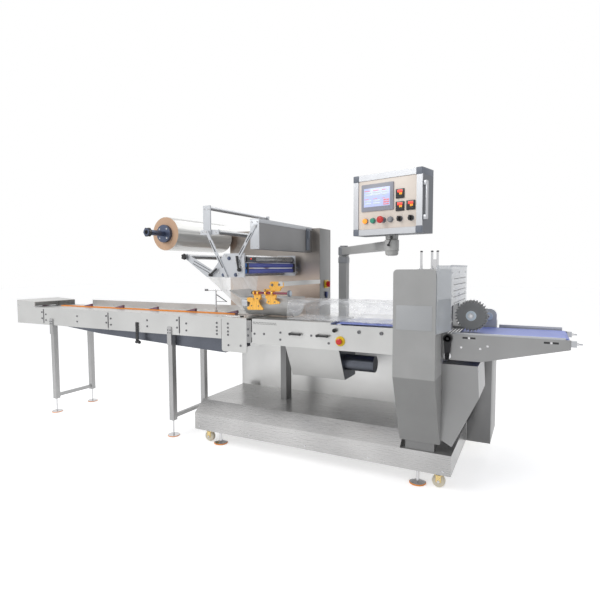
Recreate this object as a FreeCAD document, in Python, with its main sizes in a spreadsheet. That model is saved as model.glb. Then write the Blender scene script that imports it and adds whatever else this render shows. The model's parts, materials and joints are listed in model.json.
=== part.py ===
import FreeCAD, Part
import os
import re
import Sketcher

# Horizontal flow wrapper, modelled in millimetres.
# +X is the way the product travels, -Y is the operator's side, +Z is up.
# The origin is on the floor, under the middle of the whole machine.
# Every position below is measured from the plinth's left front corner, with heights from the floor;
# the helpers add the step from the origin to that corner.

SIZES = {
    # overall reach
    "infeed_overhang": 2050,
    # plinth
    "base_length": 1775, "base_depth": 620, "base_gap": 102, "lip_height": 118, "slope_rise": 76,
    "slope_run": 97,
    # rear cabinet and film wall
    "cabinet_overhang": 47, "cabinet_overrun": 148, "cabinet_depth": 397, "cabinet_height": 778,
    "cabinet_step": 217, "cabinet_recess": 60,
    "wall_overhang": 134, "wall_length": 824, "wall_setback": 30, "wall_depth": 207, "wall_height": 675,
    # levelling feet and castors
    "foot_inset": 72, "foot_left": 173, "foot_right_inset": 196, "pad_radius": 46, "pad_height": 20,
    "stem_radius": 10, "nut_radius": 17, "nut_height": 14,
    "castor_left": 80, "castor_right_inset": 76, "wheel_radius": 37, "wheel_width": 30, "wheel_lift": 3,
    "axle_radius": 6, "fork_sheet": 5, "castor_plate": 76,
    # conveyor line
    "line_front": 22, "line_width": 408, "line_top": 905, "sheet": 4, "top_flange": 25, "bottom_flange": 50,
    "deck_thickness": 12,
    # infeed conveyor
    "infeed_depth": 138, "infeed_length": 2486, "seam_one": 369, "seam_two": 1169, "seam_three": 1903,
    "seam_gap": 3, "drop_length": 207, "drop_depth": 225, "drop_round": 18,
    "bar_section": 25, "bar_first": 330, "bar_pitch": 450, "deck_slot": 40,
    "tail_length": 250, "tail_height": 58, "tail_rise": 14,
    "guide_rail_width": 12, "chain_width": 9, "chain_play": 1, "guide_rail_start": 350, "guide_rail_length": 1910,
    "guide_rail_lift": 8, "chain_thickness": 12, "sprocket_radius": 48, "sprocket_inset": 90,
    "sprocket_shaft": 12, "pusher_first": 640, "pusher_pitch": 385, "pusher_length": 95,
    "pusher_height": 22, "pusher_width": 24,
    "pan_start": 560, "pan_first": 460, "pan_second": 720, "pan_inset": 44, "pan_depth_one": 45,
    "pan_depth_two": 81, "pan_depth_three": 105,
    "leg_one": 475, "leg_two": 1810, "leg_section": 40, "leg_wall": 3, "leg_lift": 120, "brace_lift": 15,
    "bracket_sheet": 8, "bracket_overlap": 63, "bracket_drop": 77, "bracket_round": 18,
    "leg_stem": 6, "leg_pad": 42, "leg_pad_height": 10, "plug_height": 10,
    "tensioner_place": 1485, "tensioner_width": 24, "tensioner_rise": 75, "tensioner_drop": 85,
    "rail_start": 510, "rail_length": 1769, "rail_thickness": 12, "rail_height": 48,
    "guide_place": 2005, "guide_height": 168, "guide_handle": 105, "wing_drop": 30,
    "wing_height": 55,
    "link_bar": 30, "link_bar_depth": 12, "link_bar_reach": 60,
    # machine bed
    "line_gap": 44, "bed_depth": 155, "bed_deck_length": 570, "bed_bar": 30, "roller_radius": 24,
    "roller_shaft": 10, "belt_sheet": 4, "belt_gap": 5, "belt_start_gap": 15, "belt_end_gap": 12, "belt_step": 2,
    "post_inset": 40, "post_width": 45, "post_depth": 80, "post_offset": 12,
    "seal_box_inset": 220, "seal_box_length": 380, "seal_box_height": 224, "seal_box_rake": 110,
    "seal_box_gap": 4, "motor_radius": 52, "motor_length": 190, "motor_drop": 112,
    "stop_place": 1113, "stop_height": 808, "stop_collar": 31, "stop_cap": 19, "stop_neck": 13,
    "stop_collar_depth": 6, "stop_neck_depth": 14, "stop_cap_depth": 12,
    "bed_knob_place": 1080, "bed_knob_height": 873, "bed_knob_radius": 11, "bed_knob_depth": 24,
    "lever_one": 775, "lever_two": 965, "lever_height": 834, "lever_hub": 9, "lever_hub_depth": 22,
    "lever_length": 62, "lever_width": 12,
    # end-seal tower
    "tower_inset": 285, "tower_width": 222, "tower_height": 1243, "tower_reach": 170, "knee_height": 670,
    "toe_height": 273, "tower_back": 70, "tower_round": 22, "tower_foot_inset": 30, "tower_foot_depth": 60,
    "mouth_width": 320, "guide_rod_radius": 6, "guide_rod_height": 100, "guide_rod_one": 102,
    "guide_rod_two": 160, "guide_rod_three": 190, "rod_block_height": 55,
    "guard_offset": 43, "guard_sheet": 6, "guard_gap": 18, "guard_rise": 20, "guard_flange": 20, "exit_height": 1045,
    "slot_height": 5, "slot_length": 34, "slot_pitch": 52, "row_pitch": 34,
    "slot_top": 70, "slot_floor": 4, "slot_start": 90, "slot_end": 20,
    # sealing jaws
    "jaw_level": 942, "jaw_reach": 92, "jaw_gap": 6, "jaw_shaft": 20, "jaw_half": 30, "jaw_side_gap": 12,
    "jaw_seat": 30, "running_gap": 0.05,
    # discharge conveyor
    "discharge_length": 614, "discharge_top": 893, "discharge_depth": 143, "discharge_flat": 203,
    "discharge_tip": 48, "discharge_width": 382, "discharge_flange": 14, "tip_radius": 16,
    "discharge_belt_gap": 4, "discharge_start": 98, "block_length": 24, "block_depth": 22, "block_height": 30,
    "block_drop": 2, "screw_radius": 4, "screw_length": 25,
    "transfer_radius": 5, "transfer_first": 12, "transfer_pitch": 17, "transfer_drop": 13,
    "strap_place": 32, "strap_pulley": 20, "strap_width": 18, "strap_drop": 25, "strap_span": 94,
    "guard_box_width": 188, "guard_box_height": 725, "guard_box_cut": 552, "guard_box_flare": 9,
    "guard_box_corner": 61, "guard_box_bottom": 264, "guard_box_step": 33, "guard_box_depth": 330,
    # toothed press wheel over the discharge belt
    "press_place": 144, "press_clear": 10, "press_radius": 84, "press_inset": 38, "press_width": 78,
    "press_teeth": 36, "tooth_depth": 8, "tooth_half": 4, "notch_clear": 1,
    "press_shaft": 9, "collar_radius": 15,
    "collar_width": 10, "collar_gap": 5, "carrier_sheet": 12, "carrier_half": 20, "pivot_step": 61,
    "pivot_drop": 30, "stand_sheet": 8, "stand_width": 88, "stand_round": 38,
    # film unwinding and feeding unit
    "film_reach": 110, "film_plate": 10, "film_standoff": 50, "standoff_radius": 12,
    "roll_offset": 66, "roll_height": 1500, "roll_radius": 118, "roll_core": 40, "roll_gap": 50,
    "roll_width": 640, "shaft_reach": 185, "shaft_radius": 19, "shaft_seat": 40, "cone_length": 24, "cone_radius": 62,
    "shaft_knob": 26, "shaft_knob_length": 30, "bearing_half": 40,
    "plate_left": 216, "plate_right": 512, "plate_low": 1195, "plate_high": 1348, "plate_shoulder": 357,
    "plate_crook": 262, "crook_height": 1238, "arm_tip": 22, "arm_tip_low": 1328, "arm_tip_width": 26,
    "arm_tip_rise": 24,
    "idle_radius": 16, "idle_tip": 37, "idle_tip_height": 1332, "idle_low": 400, "idle_low_height": 1214,
    "feed_across": 478, "feed_radius": 24, "feed_height": 1314, "nip_across": 488, "nip_radius": 15,
    "nip_upper": 1272, "nip_lower": 1234, "frame_roller_across": 285, "frame_roller_height": 1490,
    "hood_left": 560, "hood_width": 66, "hood_low": 1372, "hood_height": 184,
    "bar_left": 192, "bar_width": 58, "bar_low": 1474, "bar_height": 190, "cross_left": 160,
    "cross_width": 150, "cross_height": 32, "cross_sheet": 8, "frame_rod": 11, "frame_rod_height": 1650,
    "link_sheet": 8, "link_half": 12, "link_one_low": 378, "link_one_low_height": 1205,
    "link_two_high": 600, "link_two_high_height": 1512, "link_two_low": 452, "link_two_low_height": 1300,
    # former
    "former_arm_across": 680, "former_arm_height": 1150, "former_arm_section": 30, "former_arm_start": 60,
    "former_left": 345, "former_length": 365, "former_radius": 130, "former_sheet": 4, "former_lift": 6,
    "flap_reach": 95, "flap_rise": 48, "spindle_radius": 8, "spindle_left": 470, "spindle_length": 270,
    "spindle_rise": 36, "spindle_knob": 13, "spindle_knob_length": 16,
    "gold_width": 66, "gold_depth": 22, "gold_one": 480, "gold_two": 574, "gold_foot": 8, "gold_top": 14,
    "film_sheet": 1.5, "tube_gap": 2, "tube_right": 20, "tube_rise": 130, "tube_round": 40, "tube_margin": 14,
    # operator panel
    "mast_across": 868, "mast_setback": 80, "mast_section": 60, "panel_clear": 94, "neck_height": 23,
    "boom_section": 52, "boom_hub": 40, "swivel_radius": 20, "swivel_gap": 5, "hub_half": 31,
    "panel_across": 1430, "panel_back": 10, "panel_width": 430, "panel_height": 340, "panel_depth": 124,
    "panel_turn": 13.7, "panel_edge": 33, "edge_depth": 6, "neck_radius": 34,
    "neck_cap": 20, "screen_width": 150, "screen_height": 112, "screen_left": 40, "screen_top": 42,
    "screen_depth": 4, "button_radius": 12, "button_depth": 16, "button_drop": 262, "button_first": 66,
    "button_pitch": 46, "controller_size": 48, "controller_depth": 5, "controller_one": 236,
    "controller_two": 300, "controller_top": 60, "controller_pitch": 70,
    "handle_radius": 7, "handle_reach": 34, "handle_span": 170,
    # main switch
    "switch_height": 1127, "switch_back": 120, "switch_size": 62, "switch_sheet": 8, "switch_gap": 5,
    "switch_knob": 22, "switch_depth": 22, "switch_pin": 6,
}

PLACES = {
    "machine_right": "discharge_right + block_length + screw_length",
    "machine_depth": "base_depth + cabinet_depth",
    "base_left": "(infeed_overhang - machine_right) / 2",
    "base_front": "(-shaft_front - machine_depth) / 2",
    "foot_right": "base_length - foot_right_inset",
    "castor_right": "base_length - castor_right_inset",
    "lip_top": "base_gap + lip_height",
    "tray_top": "lip_top + slope_rise",
    "cabinet_left": "-cabinet_overhang",
    "cabinet_right": "base_length + cabinet_overrun",
    "cabinet_top": "base_gap + cabinet_height",
    "wall_left": "-wall_overhang",
    "wall_right": "wall_left + wall_length",
    "wall_front": "base_depth + wall_setback",
    "wall_top": "cabinet_top + wall_height",
    "line_back": "line_front + line_width",
    "line_mid": "line_front + line_width / 2",
    "line_in": "line_front + sheet",
    "line_out": "line_back - sheet",
    "deck_top": "line_top + deck_thickness",
    "infeed_left": "-infeed_overhang",
    "infeed_low": "line_top - infeed_depth",
    "infeed_right": "infeed_left + infeed_length",
    "drop_left": "infeed_right - drop_length",
    "drop_low": "line_top - drop_depth",
    "guide_low": "deck_top + guide_rail_lift - guide_rail_height",
    "guide_rail_height": "deck_thickness + guide_rail_lift + bar_section",
    "chain_half": "chain_width / 2",
    "chain_top": "deck_top - 2 * chain_play",
    "chain_centre": "chain_top - chain_thickness - sprocket_radius",
    "sprocket_left": "infeed_left + sprocket_inset",
    "sprocket_right": "infeed_right - sprocket_inset",
    "pan_left": "infeed_left + pan_start",
    "bed_left": "infeed_right + line_gap",
    "bed_low": "line_top - bed_depth",
    "bar_base": "bed_low + sheet",
    "belt_left": "bed_left + bed_deck_length + belt_start_gap",
    "belt_right": "tower_left - belt_end_gap",
    "belt_top": "deck_top - belt_step",
    "bed_roller": "belt_top - belt_sheet - roller_radius",
    "belt_front": "line_front + top_flange + belt_gap",
    "belt_back": "line_back - top_flange - belt_gap",
    "tower_left": "base_length - tower_inset",
    "tower_right": "tower_left + tower_width",
    "tower_mid": "tower_left + tower_width / 2",
    "mouth_back": "tower_back + mouth_width",
    "jaw_step": "jaw_reach + jaw_gap / 2",
    "guard_x": "tower_right + guard_offset",
    "guard_back": "base_depth - guard_gap",
    "guard_low": "discharge_top + guard_gap",
    "guard_high": "tower_height + guard_rise",
    "discharge_right": "tower_right + discharge_length",
    "discharge_low": "discharge_top - discharge_depth",
    "discharge_back": "line_front + discharge_width",
    "out_roller_one": "tower_right + discharge_start",
    "out_roller_two": "discharge_right - tip_radius - belt_sheet",
    "out_top": "discharge_top + belt_sheet",
    "out_roller": "discharge_top - tip_radius",
    "press_across": "tower_right + press_place",
    "press_level": "out_top + press_clear + press_radius",
    "press_front": "line_front + press_inset",
    "press_back": "press_front + press_width",
    "stand_front": "discharge_back - stand_sheet",
    "carrier_front": "stand_front - carrier_sheet",
    "pivot_across": "press_across + pivot_step",
    "pivot_level": "press_level - pivot_drop",
    "film_front": "-film_reach",
    "film_inner": "film_front + film_plate",
    "film_rear": "wall_front - film_standoff - film_plate",
    "roll_across": "wall_left - roll_offset",
    "roll_back": "wall_front - roll_gap",
    "roll_front": "roll_back - roll_width",
    "shaft_front": "roll_front - shaft_reach",
    "former_right": "former_left + former_length",
    "former_base": "deck_top + former_lift",
    "former_rim": "former_base + former_radius",
    "spindle_level": "former_rim + spindle_rise",
    "spindle_y": "former_arm_start - gold_depth / 2",
    "tube_left": "former_right + tube_gap",
    "tube_end": "tower_left - tube_right",
    "mast_back": "base_depth + mast_setback",
    "panel_low": "tower_height + guide_rod_height + panel_clear",
    "boom_height": "panel_low - neck_height - swivel_gap - hub_half",
    "hub_low": "boom_height - hub_half",
    "hub_high": "boom_height + hub_half",
    "boom_length": "sqrt((panel_across - mast_across) ^ 2 + (mast_back - panel_back) ^ 2)",
    "boom_turn": "atan((mast_back - panel_back) / (panel_across - mast_across))",
    "switch_y": "wall_front + switch_back",
}

doc = FreeCAD.newDocument("flow_wrapper")
sizes = doc.addObject("Spreadsheet::Sheet", "sizes")
for row, (alias, value) in enumerate(SIZES.items(), start=1):
    sizes.set(f"A{row}", alias)
    sizes.set(f"B{row}", str(value))
    sizes.setAlias(f"B{row}", alias)
doc.recompute()

STEP = {"X": "base_left + ", "Y": "base_front + ", "Z": ""}
PLANES = {"X": "YZ_Plane", "Y": "XZ_Plane", "Z": "XY_Plane"}
SKETCH_AXES = {"X": "YZ", "Y": "XZ", "Z": "XY"}
nodes = {}


def formula(text):
    """Text in terms of size and place names, as an expression on the sheet's cells."""
    def swap(match):
        name = match.group()
        if name in SIZES:
            return f"sizes.{name}"
        return f"({formula(PLACES[name])})" if name in PLACES else name
    return re.sub(r"[a-z][a-z_]*", swap, str(text))


def number(text):
    value = sizes.evalExpression(formula(text))
    return float(getattr(value, "Value", value))


def count(room, pitch):
    """How many pieces of a row fit in the room left for their steps."""
    return int(number(f"({room}) / ({pitch})")) + 1


def bind(item, prop, text):
    item.setExpression(prop, formula(text))


def from_corner(axis, text):
    return f"{STEP[axis]}({text})"


def block(label, x, y, z, local=False):
    """Box between a low and a high formula along each axis."""
    item = doc.addObject("Part::Box", label)
    for axis, side, (low, high) in zip("XYZ", ("Length", "Width", "Height"), (x, y, z)):
        bind(item, side, f"({high}) - ({low})")
        bind(item, f"Placement.Base.{axis.lower()}", low if local else from_corner(axis, low))
    return item


TURNS = {"X": FreeCAD.Rotation(FreeCAD.Vector(0, 1, 0), 90),
         "Y": FreeCAD.Rotation(FreeCAD.Vector(1, 0, 0), -90),
         "Z": FreeCAD.Rotation()}


def rod(label, axis, radius, centre, span, local=False, tip=None):
    """Cylinder along axis, or a cone to the radius tip; centre gives the other two axes in X, Y, Z order."""
    item = doc.addObject("Part::Cone" if tip else "Part::Cylinder", label)
    low, high = span
    bind(item, "Height", f"({high}) - ({low})")
    bind(item, "Radius1" if tip else "Radius", radius)
    if tip:
        bind(item, "Radius2", tip)
    item.Placement.Rotation = TURNS[axis]
    places = list(centre)
    places.insert("XYZ".index(axis), low)
    for name, text in zip("XYZ", places):
        bind(item, f"Placement.Base.{name.lower()}", text if local else from_corner(name, text))
    return item


def cut(label, base, *tools):
    item = doc.addObject("Part::Cut", label)
    item.Base = base
    item.Tool = tools[0] if len(tools) == 1 else group(f"{label}_tools", *tools)
    return item


def fuse(label, *parts):
    item = doc.addObject("Part::MultiFuse", label)
    item.Shapes = list(parts)
    item.Refine = True
    return item


def group(label, *parts):
    item = doc.addObject("Part::Compound", label)
    item.Links = list(parts)
    return item


def common(label, *parts):
    item = doc.addObject("Part::MultiCommon", label)
    item.Shapes = list(parts)
    return item


def sketch_on(body, axis, low, name, local=False):
    """Sketch on the body's own plane across axis, moved along that axis to low."""
    sketch = body.newObject("Sketcher::SketchObject", name)
    plane = next(item for item in body.Origin.OriginFeatures if item.Role == PLANES[axis])
    sketch.AttachmentSupport = [(plane, "")]
    sketch.MapMode = "FlatFace"
    sign = "-" if axis == "Y" else ""
    bind(sketch, "AttachmentOffset.Base.z", f"{sign}({low if local else from_corner(axis, low)})")
    return sketch


def outline(sketch, axis, corners, local=False):
    """Closed outline through corners, held to the corner formulas by dimensions."""
    steps = ("", "") if local else tuple(STEP[name] for name in SKETCH_AXES[axis])
    texts = [(f"{steps[0]}({u})", f"{steps[1]}({v})") for u, v in corners]
    points = [FreeCAD.Vector(number(u), number(v), 0) for u, v in texts]
    count = len(points)
    for i in range(count):
        sketch.addGeometry(Part.LineSegment(points[i], points[(i + 1) % count]), False)
    for i in range(count):
        sketch.addConstraint(Sketcher.Constraint("Coincident", i, 2, (i + 1) % count, 1))
    for i, pair in enumerate(texts):
        for kind, text in zip(("DistanceX", "DistanceY"), pair):
            index = sketch.addConstraint(Sketcher.Constraint(kind, -1, 1, i, 1, number(text)))
            bind(sketch, f"Constraints[{index}]", text)


def pad(body, axis, low, thick, corners, local=False):
    """Outline across axis, padded from low towards the axis' positive side."""
    count = len(body.Group)
    sketch = sketch_on(body, axis, low, f"{body.Label}_sketch_{count}", local)
    outline(sketch, axis, corners, local)
    feature = body.newObject("PartDesign::Pad", f"{body.Label}_pad_{count}")
    feature.Profile = sketch
    bind(feature, "Length", thick)
    feature.Reversed = axis == "Y"
    return feature


def pocket(body, axis, low, deep, corners, local=False):
    """Outline across axis, cut from low towards the axis' positive side."""
    count = len(body.Group)
    sketch = sketch_on(body, axis, low, f"{body.Label}_sketch_{count}", local)
    outline(sketch, axis, corners, local)
    feature = body.newObject("PartDesign::Pocket", f"{body.Label}_pocket_{count}")
    feature.Profile = sketch
    bind(feature, "Length", deep)
    feature.Reversed = axis != "Y"
    return feature


def new_body(label):
    body = doc.addObject("PartDesign::Body", label)
    body.Label = label
    return body


def plate(label, axis, low, thick, corners, local=False):
    body = new_body(label)
    pad(body, axis, low, thick, corners, local)
    return body


def round_edges(body, radius, wanted):
    """Fillet on the edges of the body's last feature whose middle point wanted() picks."""
    doc.recompute()
    tip = body.Tip
    names = [f"Edge{i}" for i, edge in enumerate(tip.Shape.Edges, start=1)
             if wanted(edge.valueAt((edge.FirstParameter + edge.LastParameter) / 2), edge)]
    fillet = body.newObject("PartDesign::Fillet", f"{body.Label}_fillet")
    fillet.Base = (tip, names)
    bind(fillet, "Radius", radius)


def near(value, axis, text):
    return abs(value - number(from_corner(axis, text))) < 0.01


def rectangle(u_low, u_high, v_low, v_high):
    return [(u_low, v_low), (u_high, v_low), (u_high, v_high), (u_low, v_high)]


def loop(label, x, z, radius, thick, y):
    """Closed belt round two equal pulleys at the X pair and Z pair, one pair being level or plumb."""
    level = z[0] == z[1]
    rings = []
    for name, reach in (("outer", f"{radius} + {thick}"), ("inner", radius)):
        ends = [rod(f"{label}_{name}_{i}", "Y", reach, (x[i], z[i]), y) for i in (0, 1)]
        if level:
            span = block(f"{label}_{name}_span", x, y, (f"{z[0]} - ({reach})", f"{z[0]} + ({reach})"))
        else:
            span = block(f"{label}_{name}_span", (f"{x[0]} - ({reach})", f"{x[0]} + ({reach})"), y, z)
        rings.append(fuse(f"{label}_{name}", span, *ends))
    return cut(label, *rings)


def node(item, label=None):
    """Registers a sub-part: its label names its file."""
    if label:
        item.Label = label
    nodes[item.Label] = item
    return item


# ---- plinth -------------------------------------------------------------------------------------
plinth = plate("base_plinth", "X", "0", "base_length", rectangle("0", "base_depth", "base_gap", "lip_top"))
pad(plinth, "X", "0", "tower_left",
    [("0", "lip_top"), ("base_depth", "lip_top"), ("base_depth", "tray_top"), ("slope_run", "tray_top")])
node(plinth)

feet = []
foot_spots = [(x, y) for x in ("foot_left", "foot_right") for y in ("foot_inset", "machine_depth - foot_inset")]
for i, (x, y) in enumerate(foot_spots):
    feet.append(fuse(
        f"foot_{i}",
        rod(f"foot_pad_{i}", "Z", "pad_radius", (x, y), ("0", "pad_height / 2")),
        rod(f"foot_dome_{i}", "Z", "pad_radius", (x, y), ("pad_height / 2", "pad_height"), tip="nut_radius"),
        rod(f"foot_stem_{i}", "Z", "stem_radius", (x, y), ("pad_height", "base_gap")),
        rod(f"foot_nut_{i}", "Z", "nut_radius", (x, y), ("base_gap - nut_height", "base_gap"))))

castors = []
castor_spots = [(x, y) for x in ("castor_left", "castor_right") for y in ("foot_inset", "machine_depth - foot_inset")]
wheel_level = "wheel_lift + wheel_radius"
for i, (x, y) in enumerate(castor_spots):
    cheeks = []
    for side, sign in (("near", "-"), ("far", "+")):
        face = f"{y} {sign} (wheel_width / 2 + fork_sheet)"
        low, high = (face, f"({face}) + fork_sheet") if sign == "-" else (f"({face}) - fork_sheet", face)
        cheeks.append(block(f"cheek_{side}_{i}", (f"{x} - wheel_radius / 2", f"{x} + wheel_radius / 2"),
                            (low, high), (f"{wheel_level} - 2 * axle_radius", "base_gap - fork_sheet")))
    castors.append(fuse(
        f"castor_{i}", *cheeks,
        block(f"castor_top_{i}", (f"{x} - castor_plate / 2", f"{x} + castor_plate / 2"),
              (f"{y} - castor_plate / 2", f"{y} + castor_plate / 2"), ("base_gap - fork_sheet", "base_gap")),
        rod(f"axle_{i}", "Y", "axle_radius", (x, wheel_level),
            (f"{y} - wheel_width / 2 - 2 * fork_sheet", f"{y} + wheel_width / 2 + 2 * fork_sheet")),
        rod(f"wheel_{i}", "Y", "wheel_radius", (x, wheel_level),
            (f"{y} - wheel_width / 2", f"{y} + wheel_width / 2"))))
node(group("castors", *castors))

# ---- rear cabinet and the wall that carries the film -----------------------------------------------
node(plate("rear_cabinet", "Z", "base_gap", "cabinet_height",
           [("cabinet_left", "base_depth + cabinet_recess"),
            ("cabinet_left + cabinet_step", "base_depth + cabinet_recess"),
            ("cabinet_left + cabinet_step", "base_depth"), ("cabinet_right", "base_depth"),
            ("cabinet_right", "machine_depth"), ("cabinet_left", "machine_depth")]))
node(block("film_wall", ("wall_left", "wall_right"), ("wall_front", "wall_front + wall_depth"),
           ("cabinet_top", "wall_top")))

switch_face = "wall_right + switch_sheet"
node(cut("switch_plate",
         block("switch_blank", ("wall_right", switch_face),
               ("switch_y - switch_size / 2", "switch_y + switch_size / 2"),
               ("switch_height - switch_size / 2", "switch_height + switch_size / 2")),
         rod("switch_bore", "X", "switch_pin + running_gap", ("switch_y", "switch_height"),
             ("wall_right", switch_face))))
node(fuse("switch_handle",
          rod("switch_stem", "X", "switch_pin", ("switch_y", "switch_height"),
              ("wall_right + running_gap", f"{switch_face} + switch_gap")),
          rod("switch_disc", "X", "switch_knob", ("switch_y", "switch_height"),
              (f"{switch_face} + switch_gap", f"{switch_face} + switch_gap + switch_depth / 2")),
          block("switch_grip", (f"{switch_face} + switch_gap", f"{switch_face} + switch_gap + switch_depth"),
                ("switch_y - switch_pin", "switch_y + switch_pin"),
                ("switch_height - switch_knob", "switch_height + switch_knob"))))

# ---- infeed conveyor --------------------------------------------------------------------------------


def channel(label, start, end, low, back=False):
    """Bent side sheet of a conveyor, its flanges turned inwards."""
    face, sign = ("line_back", "-") if back else ("line_front", "+")
    top, deep, wide = f"{face} {sign} top_flange", f"{face} {sign} sheet", f"{face} {sign} bottom_flange"
    return plate(label, "X", start, f"({end}) - ({start})",
                 [(face, low), (wide, low), (wide, f"{low} + sheet"), (deep, f"{low} + sheet"),
                  (deep, "line_top - sheet"), (top, "line_top - sheet"), (top, "line_top"), (face, "line_top")])


seams = ["infeed_left", "infeed_left + seam_one", "infeed_left + seam_two", "infeed_left + seam_three", "drop_left"]
sides = []
for back in (False, True):
    for i in range(4):
        start = seams[i] if i == 0 else f"{seams[i]} + seam_gap / 2"
        end = f"{seams[i + 1]} - seam_gap / 2"
        sides.append(channel(f"infeed_side_{'rear' if back else 'front'}_{i}", start, end, "infeed_low", back))

for label, low in (("drop_plate_front", "line_front"), ("drop_plate_rear", "line_out")):
    body = plate(label, "Y", low, "sheet",
                 rectangle("drop_left + seam_gap / 2", "infeed_right", "drop_low", "line_top"))
    round_edges(body, "drop_round", lambda p, e: near(p.x, "X", "drop_left + seam_gap / 2") and near(p.z, "Z", "drop_low"))
    sides.append(body)
node(group("infeed_sides", *sides))

bars = []
for i in range(count("infeed_length - drop_length - bar_first", "bar_pitch")):
    x = f"infeed_left + bar_first + {i} * bar_pitch"
    bars.append(block(f"infeed_bar_{i}", (x, f"{x} + bar_section"), ("line_in", "line_out"),
                      ("guide_low - bar_section", "guide_low")))
bars.append(block("infeed_end_plate", ("infeed_left", "infeed_left + sheet"), ("line_in", "line_out"),
                  ("infeed_low + sheet", "line_top - sheet")))
splice = block("infeed_splice", ("drop_left - drop_length / 4", "drop_left + drop_length / 4"),
               ("line_in", "line_in + bracket_sheet"), ("guide_low - bar_section", "line_top - 2 * sheet"))
splice_rear = block("infeed_splice_rear", ("drop_left - drop_length / 4", "drop_left + drop_length / 4"),
                    ("line_out - bracket_sheet", "line_out"), ("guide_low - bar_section", "line_top - 2 * sheet"))
bars += [splice, splice_rear]
for i in range(1, 4):
    for side, low, high in (("front", "line_in", "line_in + bracket_sheet"),
                            ("rear", "line_out - bracket_sheet", "line_out")):
        bars.append(block(f"seam_plate_{side}_{i}", (f"{seams[i]} - bar_section", f"{seams[i]} + bar_section"),
                          (low, high), ("infeed_low + 2 * sheet", "guide_low - 2 * bar_section")))

deck_left = "infeed_left + tail_length"
node(group("line_deck",
           block("bed_deck", ("bed_left", "bed_left + bed_deck_length"), ("line_front", "line_back"),
                 ("line_top", "deck_top")),
           block("deck_front", (deck_left, "infeed_right"), ("line_front", "line_mid - deck_slot / 2"),
                 ("line_top", "deck_top")),
           block("deck_rear", (deck_left, "infeed_right"), ("line_mid + deck_slot / 2", "line_back"),
                 ("line_top", "deck_top"))))

rail_left = "infeed_left + guide_rail_start"
groove = "chain_half + chain_play"
rail_span = (rail_left, f"{rail_left} + guide_rail_length")
node(group("chain_rails",
           block("chain_rail_front", rail_span,
                 (f"line_mid - {groove.replace('+', '-')} - guide_rail_width", f"line_mid - ({groove})"),
                 ("guide_low", "guide_low + guide_rail_height")),
           block("chain_rail_rear", rail_span, (f"line_mid + {groove}", f"line_mid + {groove} + guide_rail_width"),
                 ("guide_low", "guide_low + guide_rail_height"))))
chain_y = ("line_mid - chain_half", "line_mid + chain_half")
chain = loop("chain_links", ("sprocket_left", "sprocket_right"), ("chain_centre", "chain_centre"),
             "sprocket_radius", "chain_thickness", chain_y)

lugs = []
rail_top = "guide_low + guide_rail_height"
for i in range(count("infeed_length - sprocket_inset - pusher_first - pusher_length", "pusher_pitch")):
    x = f"infeed_left + pusher_first + {i} * pusher_pitch"
    slim = plate(f"lug_tongue_{i}", "Y", chain_y[0], "chain_width",
                 rectangle(f"{x} + pusher_length / 2", f"{x} + pusher_length", "chain_top", f"{rail_top} + chain_play"))
    wide = plate(f"lug_head_{i}", "Y", "line_mid - pusher_width / 2", "pusher_width",
                 [(x, f"{rail_top} + chain_play"), (f"{x} + pusher_length", f"{rail_top} + chain_play"),
                  (f"{x} + pusher_length", f"{rail_top} + chain_play + pusher_height")])
    lugs.append(fuse(f"lug_{i}", slim, wide))
node(fuse("pusher_chain", chain, *lugs))

line_rollers = []
for name in ("left", "right"):
    spot = (f"sprocket_{name}", "chain_centre")
    line_rollers.append(fuse(f"sprocket_set_{name}", rod(f"sprocket_{name}", "Y", "sprocket_radius", spot, chain_y),
                          rod(f"sprocket_shaft_{name}", "Y", "sprocket_shaft", spot, ("line_in", "line_out"))))

tail = plate("tail_cover", "Y", "line_front", "line_width",
             [("infeed_left", "line_top"), (deck_left, "line_top"), (deck_left, "line_top + tail_height"),
              ("infeed_left", "line_top + tail_height + tail_rise")])
pocket(tail, "Y", "line_in", "line_width - 2 * sheet",
       [("infeed_left + sheet", "line_top"), (deck_left, "line_top"),
        (deck_left, "line_top + tail_height - sheet"),
        ("infeed_left + sheet", "line_top + tail_height + tail_rise - sheet")])
node(tail)

pan_points = [("pan_left", "infeed_low - sheet"), ("pan_left + pan_first", "infeed_low - pan_depth_one"),
              ("pan_left + pan_first + pan_second", "infeed_low - pan_depth_two"),
              ("drop_left", "infeed_low - pan_depth_three")]
pan = plate("belly_pan", "Y", "line_front + pan_inset", "line_width - 2 * pan_inset",
            [("pan_left", "infeed_low"), *pan_points, ("drop_left", "infeed_low")])
raised = [(x, f"{z} + sheet") for x, z in pan_points]
raised[0] = ("pan_left + 3 * sheet", "infeed_low - sheet / 2")
raised[-1] = ("drop_left - sheet", raised[-1][1])
pocket(pan, "Y", "line_front + pan_inset + sheet", "line_width - 2 * pan_inset - 2 * sheet",
       [("pan_left + 3 * sheet", "infeed_low"), *raised, ("drop_left - sheet", "infeed_low")])
node(pan)

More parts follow.
